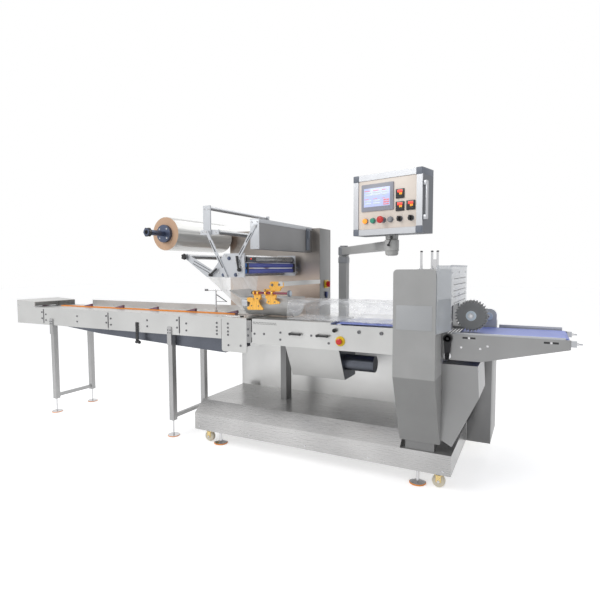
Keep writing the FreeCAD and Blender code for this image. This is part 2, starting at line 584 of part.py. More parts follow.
frames = []
for i, place in enumerate(("infeed_left + leg_one", "infeed_left + leg_two")):
    x = (f"{place} - leg_section / 2", f"{place} + leg_section / 2")
    inner_x = (f"{place} - leg_section / 2 + leg_wall", f"{place} + leg_section / 2 - leg_wall")
    spans = (("line_front", "line_front + leg_section"), ("line_back - leg_section", "line_back"))
    tubes = []
    for k, (near_face, far_face) in enumerate(spans):
        tubes.append(cut(f"leg_{i}_{k}", block(f"leg_bar_{i}_{k}", x, (near_face, far_face), ("leg_lift", "infeed_low")),
                         block(f"leg_hole_{i}_{k}", inner_x, (f"{near_face} + leg_wall", f"{far_face} - leg_wall"),
                               ("leg_lift", "infeed_low"))))
        mid_y = f"{near_face} + leg_section / 2"
        feet.append(fuse(
            f"leg_foot_{i}_{k}",
            block(f"leg_plug_{i}_{k}", inner_x, (f"{near_face} + leg_wall", f"{far_face} - leg_wall"),
                  ("leg_lift", "leg_lift + plug_height")),
            rod(f"leg_stem_{i}_{k}", "Z", "leg_stem", (place, mid_y), ("leg_pad_height", "leg_lift")),
            rod(f"leg_pad_{i}_{k}", "Z", "leg_pad", (place, mid_y), ("0", "leg_pad_height"))))
        low = "line_front - bracket_sheet" if k == 0 else "line_back"
        strap = plate(f"leg_bracket_{i}_{k}", "Y", low, "bracket_sheet",
                      rectangle(x[0], x[1], "infeed_low - bracket_drop", "infeed_low + bracket_overlap"))
        round_edges(strap, "bracket_round",
                    lambda p, e: near(p.z, "Z", "infeed_low + bracket_overlap") and abs(e.tangentAt(0).y) > 0.9)
        tubes.append(strap)
    brace = block(f"leg_brace_{i}", (f"{place} - bar_section / 2", f"{place} + bar_section / 2"),
                  (spans[0][1], spans[1][0]), ("leg_lift + brace_lift", "leg_lift + brace_lift + bar_section"))
    frames.append(fuse(f"leg_frame_{i}", *tubes, brace))
node(group("infeed_legs", *frames))
node(group("levelling_feet", *feet))

tension_x = "infeed_left + tensioner_place"
tensioner_low = "infeed_low - tensioner_drop"
controls = [fuse(
    "chain_tensioner",
    block("tensioner_bar", (f"{tension_x} - tensioner_width / 2", f"{tension_x} + tensioner_width / 2"),
          ("line_front - bracket_sheet", "line_front"), (tensioner_low, "infeed_low + tensioner_rise")),
    rod("tensioner_knob", "Y", "tensioner_width / 2",
        (f"{tension_x} + tensioner_width / 2", f"{tensioner_low} + tensioner_width / 2"),
        ("line_front - 3 * bracket_sheet", "line_front")))]

rail_start = "infeed_left + rail_start"
node(block("product_rail", (rail_start, f"{rail_start} + rail_length"), ("line_back - rail_thickness", "line_back"),
           ("deck_top", "deck_top + rail_height")))

guide_x, guide_y = "infeed_left + guide_place", "line_mid + line_width / 4"
guide_z = "deck_top + guide_height"
wing_low = f"{guide_z} - wing_drop - wing_height"
node(fuse("width_adjuster",
          rod("adjuster_stem", "Z", "axle_radius", (guide_x, guide_y), ("deck_top", guide_z)),
          rod("adjuster_handle", "X", "axle_radius", (guide_y, guide_z),
              (f"{guide_x} - guide_handle", f"{guide_x} + guide_handle")),
          plate("adjuster_wing", "Y", f"{guide_y} - sheet / 2", "sheet",
                [(guide_x, f"{guide_z} - wing_drop"), (f"{guide_x} + guide_handle", wing_low),
                 (guide_x, wing_low)])))

for side, low, high in (("front", "line_in", "line_in + link_bar_depth"),
                        ("rear", "line_out - link_bar_depth", "line_out")):
    bars.append(block(f"line_link_{side}", ("infeed_right - link_bar_reach", "bed_left + link_bar_reach"), (low, high),
                       ("bed_low + 2 * sheet", "bed_low + 2 * sheet + link_bar")))


# ---- machine bed --------------------------------------------------------------------------------------
node(group("bed_sides", channel("bed_side_front", "bed_left", "tower_left", "bed_low"),
           channel("bed_side_rear", "bed_left", "tower_left", "bed_low", back=True)))
seal_left = "bed_left + seal_box_inset"
seal_right = f"{seal_left} + seal_box_length"
for i, x in enumerate(("bed_left + 3 * bed_bar", f"{seal_left} + bed_bar", f"{seal_right} - 2 * bed_bar",
                       "tower_left - 2 * bed_bar")):
    bars.append(block(f"bed_bar_{i}", (x, f"{x} + bed_bar"), ("line_in", "line_out"),
                          ("bar_base", "bar_base + bed_bar")))
node(group("cross_bars", *bars))

bed_centres = ("belt_left + roller_radius + belt_sheet", "belt_right - roller_radius - belt_sheet")
belt_y = ("belt_front", "belt_back")
bed_belt = loop("bed_belt", bed_centres, ("bed_roller", "bed_roller"), "roller_radius", "belt_sheet", belt_y)
for i, x in enumerate(bed_centres):
    line_rollers.append(fuse(f"bed_roller_{i}", rod(f"bed_drum_{i}", "Y", "roller_radius", (x, "bed_roller"), belt_y),
                        rod(f"bed_shaft_{i}", "Y", "roller_shaft", (x, "bed_roller"), ("line_in", "line_out"))))

post_y = ("line_back - post_offset - post_depth", "line_back - post_offset")
bed_post = block("bed_post", ("bed_left + post_inset", "bed_left + post_inset + post_width"), post_y,
                 ("tray_top", "bed_low"))

seal_y = ("line_front + bottom_flange + seal_box_gap", "line_back - bottom_flange - seal_box_gap")
seal_low = "bar_base - seal_box_height"
seal_case = plate("seal_case", "X", seal_left, "seal_box_length",
                  [(seal_y[0], "bar_base"), (seal_y[1], "bar_base"), (seal_y[1], seal_low),
                   (f"{seal_y[0]} + seal_box_rake", seal_low)])
node(fuse("seal_box", seal_case,
          rod("seal_motor", "X", "motor_radius", ("line_mid", "bar_base - motor_drop"),
              (seal_right, f"{seal_right} + motor_length"))))

stop_spot = ("stop_place", "stop_height")
stop_faces = ["line_front", "line_front - stop_collar_depth"]
stop_faces.append(f"{stop_faces[1]} - stop_neck_depth")
stop_faces.append(f"{stop_faces[2]} - stop_cap_depth")
node(fuse("emergency_stop",
          rod("stop_collar", "Y", "stop_collar", stop_spot, (stop_faces[1], stop_faces[0])),
          rod("stop_neck", "Y", "stop_neck", stop_spot, (stop_faces[2], stop_faces[1])),
          rod("stop_cap", "Y", "stop_cap", stop_spot, (stop_faces[3], stop_faces[2]))))
controls.append(rod("bed_knob", "Y", "bed_knob_radius", ("bed_knob_place", "bed_knob_height"),
                    ("line_front - bed_knob_depth", "line_front")))
for i, x in enumerate(("lever_one", "lever_two")):
    controls.append(fuse(
        f"bed_lever_{i}",
        rod(f"lever_hub_{i}", "Y", "lever_hub", (x, "lever_height"), ("line_front - lever_hub_depth", "line_front")),
        block(f"lever_arm_{i}", (x, f"{x} + lever_length"),
              ("line_front - lever_hub_depth", "line_front - lever_hub_depth + lever_width"),
              ("lever_height - lever_width / 2", "lever_height + lever_width / 2"))))
node(group("line_handles", *controls))

# ---- end-seal tower -------------------------------------------------------------------------------------
jaw_spots = {"upper_jaw": ("tower_mid", "jaw_level + jaw_step"), "lower_jaw": ("tower_mid", "jaw_level - jaw_step")}
jaw_seats = ("tower_back - jaw_seat", "mouth_back + jaw_seat")
cover = plate("tower_cover_shell", "X", "tower_left", "tower_width",
              [("-tower_reach", "knee_height"), ("0", "toe_height"), ("tower_back", "toe_height"),
               ("tower_back", "tower_height"), ("-tower_reach", "tower_height")])
round_edges(cover, "tower_round",
            lambda p, e: near(p.z, "Z", "tower_height") and abs(e.tangentAt(e.FirstParameter).y) > 0.9)
bores = [rod(f"{name}_bore", "Y", "jaw_shaft + running_gap", spot, (jaw_seats[0], jaw_seats[1]))
         for name, spot in jaw_spots.items()]
node(cut("tower_cover", cover, *bores))
node(cut("tower_rear", block("tower_rear_case", ("tower_left", "tower_right"), ("mouth_back", "base_depth"),
                             ("lip_top", "tower_height")), *bores))
tower_foot = block("tower_foot", ("tower_left + tower_foot_inset", "tower_right - tower_foot_inset"),
                   ("tower_back - tower_foot_depth", "tower_back"), ("lip_top", "toe_height"))
node(group("support_posts", bed_post, tower_foot))

for name, spot in jaw_spots.items():
    x, z = spot
    bar_y = ("tower_back + jaw_side_gap", "mouth_back - jaw_side_gap")
    shaft = rod(f"{name}_shaft", "Y", "jaw_shaft", spot,
                (f"{jaw_seats[0]} + running_gap", f"{jaw_seats[1]} - running_gap"))
    bar = block(f"{name}_bar", (f"{x} - jaw_reach", f"{x} + jaw_reach"), bar_y,
                (f"{z} - jaw_half", f"{z} + jaw_half"))
    node(fuse(name, shaft, common(f"{name}_faces", bar, rod(f"{name}_sweep", "Y", "jaw_reach", spot, bar_y))))

rods = []
for i, x in enumerate(("guide_rod_one", "guide_rod_two", "guide_rod_three")):
    rods.append(rod(f"guide_rod_{i}", "Z", "guide_rod_radius", (f"tower_left + {x}", "tower_back / 2"),
                    ("tower_height", "tower_height + guide_rod_height")))
rod_block = block("rod_block", ("tower_left + guide_rod_two", "tower_left + guide_rod_three"),
                  ("tower_back / 2 - guide_rod_radius / 2", "tower_back / 2 + guide_rod_radius / 2"),
                  ("tower_height", "tower_height + rod_block_height"))
node(group("tower_rods", rods[0], fuse("rod_pair", rods[1], rods[2], rod_block)))

shield = plate("guard_shell", "Z", "guard_low", "guard_high - guard_low",
               [("tower_right", "-tower_reach"), ("tower_right + guard_sheet", "-tower_reach"),
                ("guard_x + guard_sheet", "0"), ("guard_x + guard_sheet", "guard_back + guard_sheet"),
                ("tower_right", "guard_back + guard_sheet"), ("tower_right", "guard_back"),
                ("guard_x", "guard_back"), ("guard_x", "guard_sheet"), ("tower_right", "guard_flange - tower_reach")])
slots = []
slot_rows = count("guard_high - slot_top - slot_height - slot_floor - exit_height", "row_pitch")
slot_columns = count("guard_back - slot_start - slot_length - slot_end", "slot_pitch")
for row in range(slot_rows):
    z = f"guard_high - slot_top - {row} * row_pitch"
    for column in range(slot_columns):
        y = f"slot_start + {column} * slot_pitch"
        slots.append(block(f"guard_slot_{row}_{column}", ("guard_x", "guard_x + guard_sheet"),
                           (y, f"{y} + slot_length"), (f"{z} - slot_height", z)))
slots.append(block("guard_exit", ("guard_x", "guard_x + guard_sheet"), ("guard_flange", "guard_back"),
                   ("guard_low", "exit_height")))
node(cut("clear_guard", shield, *slots))

# ---- drive guard and discharge conveyor --------------------------------------------------------------------
box_right = "tower_right + guard_box_width"
node(plate("drive_guard", "Y", "line_front", "guard_box_depth",
           [("tower_right", "guard_box_height"), (box_right, "guard_box_height"),
            (f"{box_right} + guard_box_flare", "guard_box_cut"),
            ("tower_right + guard_box_corner", "guard_box_bottom"),
            ("tower_right", "guard_box_bottom + guard_box_step")]))

out_sides = []
out_outline = [("tower_right", "discharge_top"), ("discharge_right", "discharge_top"),
               ("discharge_right", "discharge_top - discharge_tip"),
               ("tower_right + discharge_flat", "discharge_low"), ("tower_right", "discharge_low")]
for side, low, flange_y in (("front", "line_front", ("line_in", "line_front + discharge_flange")),
                            ("rear", "discharge_back - sheet",
                             ("discharge_back - discharge_flange", "discharge_back - sheet"))):
    body = plate(f"discharge_side_{side}", "Y", low, "sheet", out_outline)
    pad(body, "X", "tower_right", "discharge_length",
        rectangle(flange_y[0], flange_y[1], "discharge_top - sheet", "discharge_top"))
    out_sides.append(body)
node(group("discharge_sides", *out_sides))

out_centres = ("out_roller_one", "out_roller_two")
out_y = ("line_front + discharge_flange + discharge_belt_gap",
         "discharge_back - discharge_flange - discharge_belt_gap")
out_inner = ("line_in", "discharge_back - sheet")
discharge_belt = loop("discharge_belt", out_centres, ("out_roller", "out_roller"), "tip_radius", "belt_sheet",
                      out_y)
node(group("conveyor_belts", bed_belt, discharge_belt))
for i, x in enumerate(out_centres):
    line_rollers.append(fuse(f"discharge_roller_{i}", rod(f"discharge_drum_{i}", "Y", "tip_radius", (x, "out_roller"), out_y),
                        rod(f"discharge_shaft_{i}", "Y", "tip_radius / 2", (x, "out_roller"), out_inner)))
transfer_room = "discharge_start - tip_radius - belt_sheet - transfer_radius - transfer_first"
for i in range(count(transfer_room, "transfer_pitch")):
    line_rollers.append(rod(f"transfer_rod_{i}", "Y", "transfer_radius",
                       (f"tower_right + transfer_first + {i} * transfer_pitch", "discharge_top - transfer_drop"),
                       out_inner))

blocks = []
for side, y in (("front", "line_front + sheet / 2"), ("rear", "discharge_back - sheet / 2")):
    span = (f"{y} - block_depth / 2", f"{y} + block_depth / 2")
    z = ("discharge_top - block_drop - block_height", "discharge_top - block_drop")
    blocks.append(fuse(f"tension_block_{side}",
                       block(f"tension_body_{side}", ("discharge_right", "discharge_right + block_length"), span, z),
                       rod(f"tension_screw_{side}", "X", "screw_radius", (y, f"{z[1]} - block_height / 2"),
                           ("discharge_right + block_length", "machine_right"))))
node(group("tension_blocks", *blocks))

strap_x = "tower_right + strap_place"
strap_z = ("discharge_top - strap_drop - strap_span", "discharge_top - strap_drop")
strap_y = ("line_front - strap_width - belt_sheet", "line_front - belt_sheet")
node(loop("drive_strap", (strap_x, strap_x), strap_z, "strap_pulley", "belt_sheet", strap_y))
line_rollers += [rod(f"strap_pulley_{i}", "Y", "strap_pulley", (strap_x, z), (strap_y[0], "line_front"))
                 for i, z in enumerate(strap_z)]
node(group("line_rollers", *line_rollers))

# ---- press wheel ----------------------------------------------------------------------------------------------
press_body = new_body("press_disc")
disc = sketch_on(press_body, "Y", "press_front", "press_disc_outline")
bind(disc, "AttachmentOffset.Base.x", from_corner("X", "press_across"))
bind(disc, "AttachmentOffset.Base.y", "press_level")
disc.addGeometry(Part.Circle(FreeCAD.Vector(), FreeCAD.Vector(0, 0, 1), number("press_radius")), False)
disc.addConstraint(Sketcher.Constraint("Coincident", 0, 3, -1, 1))
bind(disc, f"Constraints[{disc.addConstraint(Sketcher.Constraint('Radius', 0, number('press_radius')))}]",
     "press_radius")
press_pad = press_body.newObject("PartDesign::Pad", "press_disc_pad")
press_pad.Profile = disc
bind(press_pad, "Length", "press_width")
press_pad.Reversed = True
notch = sketch_on(press_body, "Y", "press_front", "press_notch")
bind(notch, "AttachmentOffset.Base.x", from_corner("X", "press_across"))
bind(notch, "AttachmentOffset.Base.y", "press_level")
outline(notch, "Y", [("-tooth_half", "press_radius + notch_clear"), ("0", "press_radius - tooth_depth"),
                     ("tooth_half", "press_radius + notch_clear")], local=True)
press_cut = press_body.newObject("PartDesign::Pocket", "press_notch_cut")
press_cut.Profile = notch
bind(press_cut, "Length", "press_width")
doc.recompute()
teeth = press_body.newObject("PartDesign::PolarPattern", "press_teeth")
teeth.Originals = [press_cut]
teeth.Axis = (notch, ["N_Axis"])
teeth.Angle = 360
bind(teeth, "Occurrences", "press_teeth")
press_body.Tip = teeth
press_spot = ("press_across", "press_level")
node(cut("press_wheel", press_body,
         rod("press_bore", "Y", "press_shaft + running_gap", press_spot, ("press_front", "press_back"))))

x, z = press_spot
carrier = plate("press_arm", "Y", "carrier_front", "carrier_sheet",
                [(f"{x} - carrier_half", f"{z} - carrier_half"), (f"{x} - carrier_half", f"{z} + carrier_half"),
                 (f"{x} + carrier_half", f"{z} + carrier_half"),
                 ("pivot_across + carrier_half", "pivot_level + carrier_half"),
                 ("pivot_across + carrier_half", "pivot_level - carrier_half"),
                 ("pivot_across - carrier_half", "pivot_level - carrier_half")])
stand = plate("press_stand", "Y", "stand_front", "stand_sheet",
              rectangle("pivot_across - stand_width / 2", "pivot_across + stand_width / 2",
                        "discharge_top", "pivot_level + stand_width / 2"))
round_edges(stand, "stand_round",
            lambda p, e: near(p.z, "Z", "pivot_level + stand_width / 2") and abs(e.tangentAt(e.FirstParameter).y) > 0.9)
node(fuse("press_carrier", carrier, stand,
          rod("press_axle", "Y", "press_shaft", press_spot,
              ("press_front - collar_gap - collar_width", "carrier_front")),
          rod("press_collar_front", "Y", "collar_radius", press_spot,
              ("press_front - collar_gap - collar_width", "press_front - collar_gap")),
          rod("press_collar_back", "Y", "collar_radius", press_spot,
              ("press_back + collar_gap", "press_back + collar_gap + collar_width"))))

# ---- film unwinding and feeding unit ----------------------------------------------------------------------------
film_outline = [("arm_tip", "arm_tip_low"), ("plate_left", "plate_low"), ("plate_right", "plate_low"),
                ("plate_right", "plate_high"), ("plate_shoulder", "plate_high"), ("plate_crook", "crook_height"),
                ("arm_tip + arm_tip_width", "arm_tip_low + arm_tip_rise")]
standoffs = [("plate_crook", "plate_low + 2 * standoff_radius"),
             ("plate_right - 2 * standoff_radius", "plate_low + 2 * standoff_radius"),
             ("plate_shoulder + 2 * standoff_radius", "plate_high - 2 * standoff_radius")]
node(group("film_plates", plate("film_plate_front", "Y", "film_front", "film_plate", film_outline),
           fuse("film_plate_rear", plate("film_plate_back", "Y", "film_rear", "film_plate", film_outline),
          *[rod(f"standoff_{i}", "Y", "standoff_radius", spot, ("film_rear + film_plate", "wall_front"))
            for i, spot in enumerate(standoffs)])))
film_span = ("film_inner", "film_rear")
frame_span = ("film_inner + cross_sheet", "wall_front")
node(group("guide_rollers",
           rod("tip_roller", "Y", "idle_radius", ("idle_tip", "idle_tip_height"), film_span),
           rod("low_roller", "Y", "idle_radius", ("idle_low", "idle_low_height"), film_span),
           rod("feed_roller", "Y", "feed_radius", ("feed_across", "feed_height"), film_span),
           rod("frame_roller", "Y", "idle_radius", ("frame_roller_across", "frame_roller_height"), frame_span)))
node(group("nip_rollers",
           rod("nip_upper", "Y", "nip_radius", ("nip_across", "nip_upper"), film_span),
           rod("nip_lower", "Y", "nip_radius", ("nip_across", "nip_lower"), film_span)))
node(block("film_hood", ("hood_left", "hood_left + hood_width"), ("film_front", "wall_front"),
           ("hood_low", "hood_low + hood_height")))

rear_bar = block("frame_bar_rear", ("bar_left", "bar_left + bar_width"), ("wall_front - film_plate", "wall_front"),
                 ("bar_low", "bar_low + bar_height"))
top_rod = rod("frame_rod", "Y", "frame_rod", ("bar_left + bar_width / 2", "frame_rod_height"),
              ("film_inner", "wall_front - film_plate"))
front_bar = block("frame_bar_front", ("bar_left", "bar_left + bar_width"), ("film_front", "film_inner"),
                  ("bar_low", "bar_low + bar_height"))
cross = block("frame_cross", ("cross_left", "cross_left + cross_width"), ("film_inner", "film_inner + cross_sheet"),
              ("bar_low", "bar_low + cross_height"))


def strut(label, high, low):
    """Flat link in front of the film plates between two centres, its ends cut level."""
    (x1, z1), (x2, z2) = high, low
    return plate(label, "Y", "film_front - link_sheet", "link_sheet",
                 [(f"{x1} - link_half", f"{z1} + link_half"), (f"{x1} + link_half", f"{z1} + link_half"),
                  (f"{x2} + link_half", f"{z2} - link_half"), (f"{x2} - link_half", f"{z2} - link_half")])


node(fuse("film_frame", rear_bar, top_rod, front_bar, cross,
          strut("link_one", ("bar_left + bar_width / 2", "bar_low + cross_height / 2"),
                 ("link_one_low", "link_one_low_height")),
           strut("link_two", ("link_two_high", "link_two_high_height"), ("link_two_low", "link_two_low_height"))))

roll_spot = ("roll_across", "roll_height")
roll_span = ("roll_front", "roll_back")
node(cut("film_roll", rod("film_wound", "Y", "roll_radius", roll_spot, roll_span),
         rod("film_core_hole", "Y", "roll_core", roll_spot, roll_span)))
shaft_end = "wall_front + shaft_seat"
node(fuse("film_shaft",
          rod("shaft_bar", "Y", "shaft_radius", roll_spot, ("shaft_front", shaft_end)),
          rod("shaft_grip", "Y", "shaft_knob", roll_spot, ("shaft_front", "shaft_front + shaft_knob_length")),
          rod("core_front", "Y", "roll_core", roll_spot, ("roll_front", "roll_front + cone_length")),
          rod("core_back", "Y", "roll_core", roll_spot, ("roll_back - cone_length", "roll_back")),
          rod("chuck_front", "Y", "cone_radius", roll_spot, ("roll_front - cone_length", "roll_front")),
          rod("chuck_back", "Y", "cone_radius", roll_spot, ("roll_back", "roll_back + cone_length"))))
bearing_y = ("wall_front", f"{shaft_end} + film_plate")
node(cut("roll_bearing",
         block("bearing_block", ("roll_across - bearing_half", "wall_left"), bearing_y,
               ("roll_height - bearing_half", "roll_height + bearing_half")),
         rod("bearing_bore", "Y", "shaft_radius + running_gap", roll_spot, ("wall_front", shaft_end))))

# ---- former and film ---------------------------------------------------------------------------------------------
node(block("former_arm", ("former_arm_across - former_arm_section / 2", "former_arm_across + former_arm_section / 2"),
           ("former_arm_start", "wall_front"),
           ("former_arm_height - former_arm_section / 2", "former_arm_height + former_arm_section / 2")))

trough_x = ("former_left", "former_right")
trough_spot = ("line_mid", "former_rim")
trough = cut("former_trough_shell", rod("trough_outer", "X", "former_radius", trough_spot, trough_x),
             rod("trough_inner", "X", "former_radius - former_sheet", trough_spot, trough_x),
             block("trough_open", trough_x, ("line_mid - former_radius", "line_mid + former_radius"),
                   ("former_rim", "former_rim + former_radius")))
flap = plate("former_flap", "Y", "line_mid - former_radius", "2 * former_radius",
             [("former_left", "former_rim - 2 * former_sheet"), ("former_left + former_sheet", "former_rim"),
              ("former_left - flap_reach", "former_rim + flap_rise"),
              ("former_left - flap_reach - former_sheet", "former_rim + flap_rise - former_sheet")])
node(fuse("former_trough", trough, flap))

spindle_spot = ("spindle_y", "spindle_level")
gold = []
rim_y = "line_mid - former_radius + former_sheet"
for i, x in enumerate(("gold_one", "gold_two")):
    gold.append(fuse(f"gold_bracket_{i}",
                     block(f"gold_upright_{i}", (x, f"{x} + gold_width"),
                           ("spindle_y - gold_depth / 2", "spindle_y + gold_depth / 2"),
                           ("former_rim", "spindle_level + gold_top")),
                     block(f"gold_foot_{i}", (x, f"{x} + gold_width"), ("spindle_y - gold_depth / 2", rim_y),
                           ("former_rim", "former_rim + gold_foot"))))
clamp_x = ("former_arm_across - gold_width / 2", "former_arm_across + gold_width / 2")
gold.append(fuse("gold_clamp",
                 block("gold_clamp_low", clamp_x, ("spindle_y - gold_depth / 2", "spindle_y + gold_depth / 2"),
                       ("spindle_level - gold_top", "former_arm_height")),
                 block("gold_clamp_high", clamp_x, ("spindle_y - gold_depth / 2", "former_arm_start"),
                       ("former_arm_height - former_arm_section", "former_arm_height + former_arm_section"))))
spindle_x = ("spindle_left", "spindle_left + spindle_length")
holed = [cut(f"gold_piece_{i}", piece, rod(f"spindle_bore_{i}", "X", "spindle_radius", spindle_spot, spindle_x))
         for i, piece in enumerate(gold)]
node(group("former_brackets", *holed))
node(fuse("former_spindle", rod("spindle_bar", "X", "spindle_radius", spindle_spot, spindle_x),
          rod("spindle_grip", "X", "spindle_knob", spindle_spot,
              (spindle_x[1], f"{spindle_x[1]} + spindle_knob_length"))))

web = new_body("film_web")
web_rows = (("idle_low_height - idle_radius", "idle_low", ("film_inner + 2 * film_plate", "film_rear - 2 * film_plate")),
            ("former_rim + flap_rise", "former_left - flap_reach",
             ("line_mid - former_radius", "line_mid + former_radius")))
web_sketches = []
for i, (z, x, (low, high)) in enumerate(web_rows):
    sketch = sketch_on(web, "Z", z, f"film_web_edge_{i}")
    outline(sketch, "Z", rectangle(f"{x} - film_sheet / 2", f"{x} + film_sheet / 2", low, high))
    web_sketches.append(sketch)
loft = web.newObject("PartDesign::AdditiveLoft", "film_web_loft")
loft.Profile = web_sketches[0]
loft.Sections = [web_sketches[1]]
loft.Ruled = True

tube_y = ("line_mid - former_radius - tube_margin", "line_mid + former_radius + tube_margin")
tube_corners = rectangle(tube_y[0], tube_y[1], "deck_top", "deck_top + tube_rise")
inner = rectangle(f"{tube_y[0]} + film_sheet", f"{tube_y[1]} - film_sheet", "deck_top + film_sheet",
                  "deck_top + tube_rise - film_sheet")
tube = plate("film_tube", "X", "tube_left", "tube_end - tube_left", tube_corners)
round_edges(tube, "tube_round", lambda p, e: abs(e.tangentAt(e.FirstParameter).x) > 0.9
            and near(p.z, "Z", "deck_top + tube_rise"))
pocket(tube, "X", "tube_left", "tube_end - tube_left",
       [(f"{tube_y[0]} + film_sheet", "deck_top + film_sheet"), (f"{tube_y[1]} - film_sheet", "deck_top + film_sheet"),
        (f"{tube_y[1]} - film_sheet", "deck_top + tube_rise - tube_round"),
        (f"{tube_y[1]} - tube_round / 2", "deck_top + tube_rise - tube_round / 2"),
        (f"{tube_y[1]} - tube_round", "deck_top + tube_rise - film_sheet"),
        (f"{tube_y[0]} + tube_round", "deck_top + tube_rise - film_sheet"),
        (f"{tube_y[0]} + tube_round / 2", "deck_top + tube_rise - tube_round / 2"),
        (f"{tube_y[0]} + film_sheet", "deck_top + tube_rise - tube_round")])
node(group("wrapping_film", web, tube))

# ---- operator panel on its swinging arm ----------------------------------------------------------------------------
mast_spot = ("mast_across", "mast_back")
neck_spot = ("panel_across", "panel_back")
mast_top = "hub_low - swivel_gap"
node(fuse("panel_mast",
          block("mast_post", ("mast_across - mast_section / 2", "mast_across + mast_section / 2"),
                ("mast_back - mast_section / 2", "mast_back + mast_section / 2"), ("cabinet_top", mast_top)),
          rod("mast_pin", "Z", "swivel_radius", mast_spot, (mast_top, "hub_high + swivel_gap")),
          rod("mast_cap", "Z", "boom_hub - 2 * swivel_gap", mast_spot,
              ("hub_high + swivel_gap", "hub_high + 2 * swivel_gap"))))

boom_z = ("boom_height - boom_section / 2", "boom_height + boom_section / 2")
hubs = []
for name, x in (("root", "0"), ("tip", "boom_length")):
    hubs.append(rod(f"boom_hub_{name}", "Z", "boom_hub", (x, "0"), ("hub_low", "hub_high"), local=True))
boom_bar = block("boom_bar", ("0", "boom_length"), ("-boom_section / 2", "boom_section / 2"), boom_z, local=True)
boom_bores = [rod(f"boom_bore_{name}", "Z", "swivel_radius + running_gap", (x, "0"), ("hub_low", "hub_high"), local=True)
              for name, x in (("root", "0"), ("tip", "boom_length"))]
boom = cut("panel_arm", fuse("boom_solid", boom_bar, *hubs), *boom_bores)
bind(boom, "Placement.Base.x", from_corner("X", mast_spot[0]))
bind(boom, "Placement.Base.y", from_corner("Y", mast_spot[1]))
bind(boom, "Placement.Rotation.Angle", "-boom_turn")
node(boom)


def on_panel(item):
    """Carries a piece from the panel's own frame, its middle at the neck, to its turned place."""
    bind(item, "Placement.Base.x", from_corner("X", neck_spot[0]))
    bind(item, "Placement.Base.y", from_corner("Y", neck_spot[1]))
    bind(item, "Placement.Rotation.Angle", "-panel_turn * 1 deg")
    return node(item)


half_w, half_d = "panel_width / 2", "panel_depth / 2"
panel_top = "panel_low + panel_height"
origin = ("0", "0")
on_panel(fuse("panel_box",
              block("panel_case", (f"-{half_w}", half_w), (f"-{half_d}", half_d), ("panel_low", panel_top), local=True),
              rod("neck_flange", "Z", "neck_radius", origin, ("hub_high + swivel_gap", "panel_low"), local=True),
              rod("neck_pin", "Z", "swivel_radius", origin, ("hub_low - swivel_gap", "hub_high + swivel_gap"), local=True),
              rod("neck_cap", "Z", "neck_radius / 2", origin,
                  ("hub_low - swivel_gap - neck_cap", "hub_low - swivel_gap"), local=True, tip="neck_radius")))
edge_y = (f"-{half_d} - edge_depth", f"-{half_d}")
on_panel(cut("panel_frame",
             block("panel_rim", (f"-{half_w}", half_w), edge_y, ("panel_low", panel_top), local=True),
             block("panel_window", (f"panel_edge - {half_w}", f"{half_w} - panel_edge"), edge_y,
                   ("panel_low + panel_edge", f"{panel_top} - panel_edge"), local=True)))
screen_x = f"screen_left - {half_w}"
screen_z = f"{panel_top} - screen_top"
instruments = [block("panel_screen", (screen_x, f"{screen_x} + screen_width"),
               (f"-{half_d} - screen_depth", f"-{half_d}"), (f"{screen_z} - screen_height", screen_z), local=True)]
for i, (x, row) in enumerate((("controller_one", 0), ("controller_one", 1), ("controller_two", 1))):
    low_x = f"{x} - {half_w}"
    high_z = f"{panel_top} - controller_top - {row} * controller_pitch"
    instruments.append(block(f"controller_{i}", (low_x, f"{low_x} + controller_size"),
                             (f"-{half_d} - controller_depth", f"-{half_d}"),
                             (f"{high_z} - controller_size", high_z), local=True))
for i in range(count("panel_width - button_first - panel_edge - button_radius", "button_pitch")):
    instruments.append(rod(f"panel_button_{i}", "Y", "button_radius",
                       (f"button_first - {half_w} + {i} * button_pitch", f"{panel_top} - button_drop"),
                       (f"-{half_d} - button_depth", f"-{half_d}"), local=True))
on_panel(group("panel_controls", *instruments))
grip = f"{half_w} + handle_reach"
mid_z = "panel_low + panel_height / 2"
handle_z = (f"{mid_z} - handle_span / 2", f"{mid_z} + handle_span / 2")
on_panel(fuse("panel_handle",
              rod("handle_grip", "Z", "handle_radius", (grip, "0"),
                  (f"{handle_z[0]} - handle_radius", f"{handle_z[1]} + handle_radius"), local=True),
              *[rod(f"handle_leg_{i}", "X", "handle_radius", ("0", z), (half_w, grip), local=True)
                for i, z in enumerate(handle_z)]))


# ---- write ----------------------------------------------------------------------------------------
def write():
    doc.recompute()
    for item in doc.Objects:
        if {"Invalid", "Error"} & set(item.State):
            raise RuntimeError(f"{item.Label}: {item.State}")
    os.makedirs("parts", exist_ok=True)
    for label, item in nodes.items():
        if item.Shape.isNull() or not item.Shape.isValid():
            raise RuntimeError(f"{label}: shape not valid")
        item.Shape.exportStep(f"parts/{label}.step")


write()
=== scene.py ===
import json
import math
import random

import bmesh
import bpy
from mathutils import Matrix, Vector


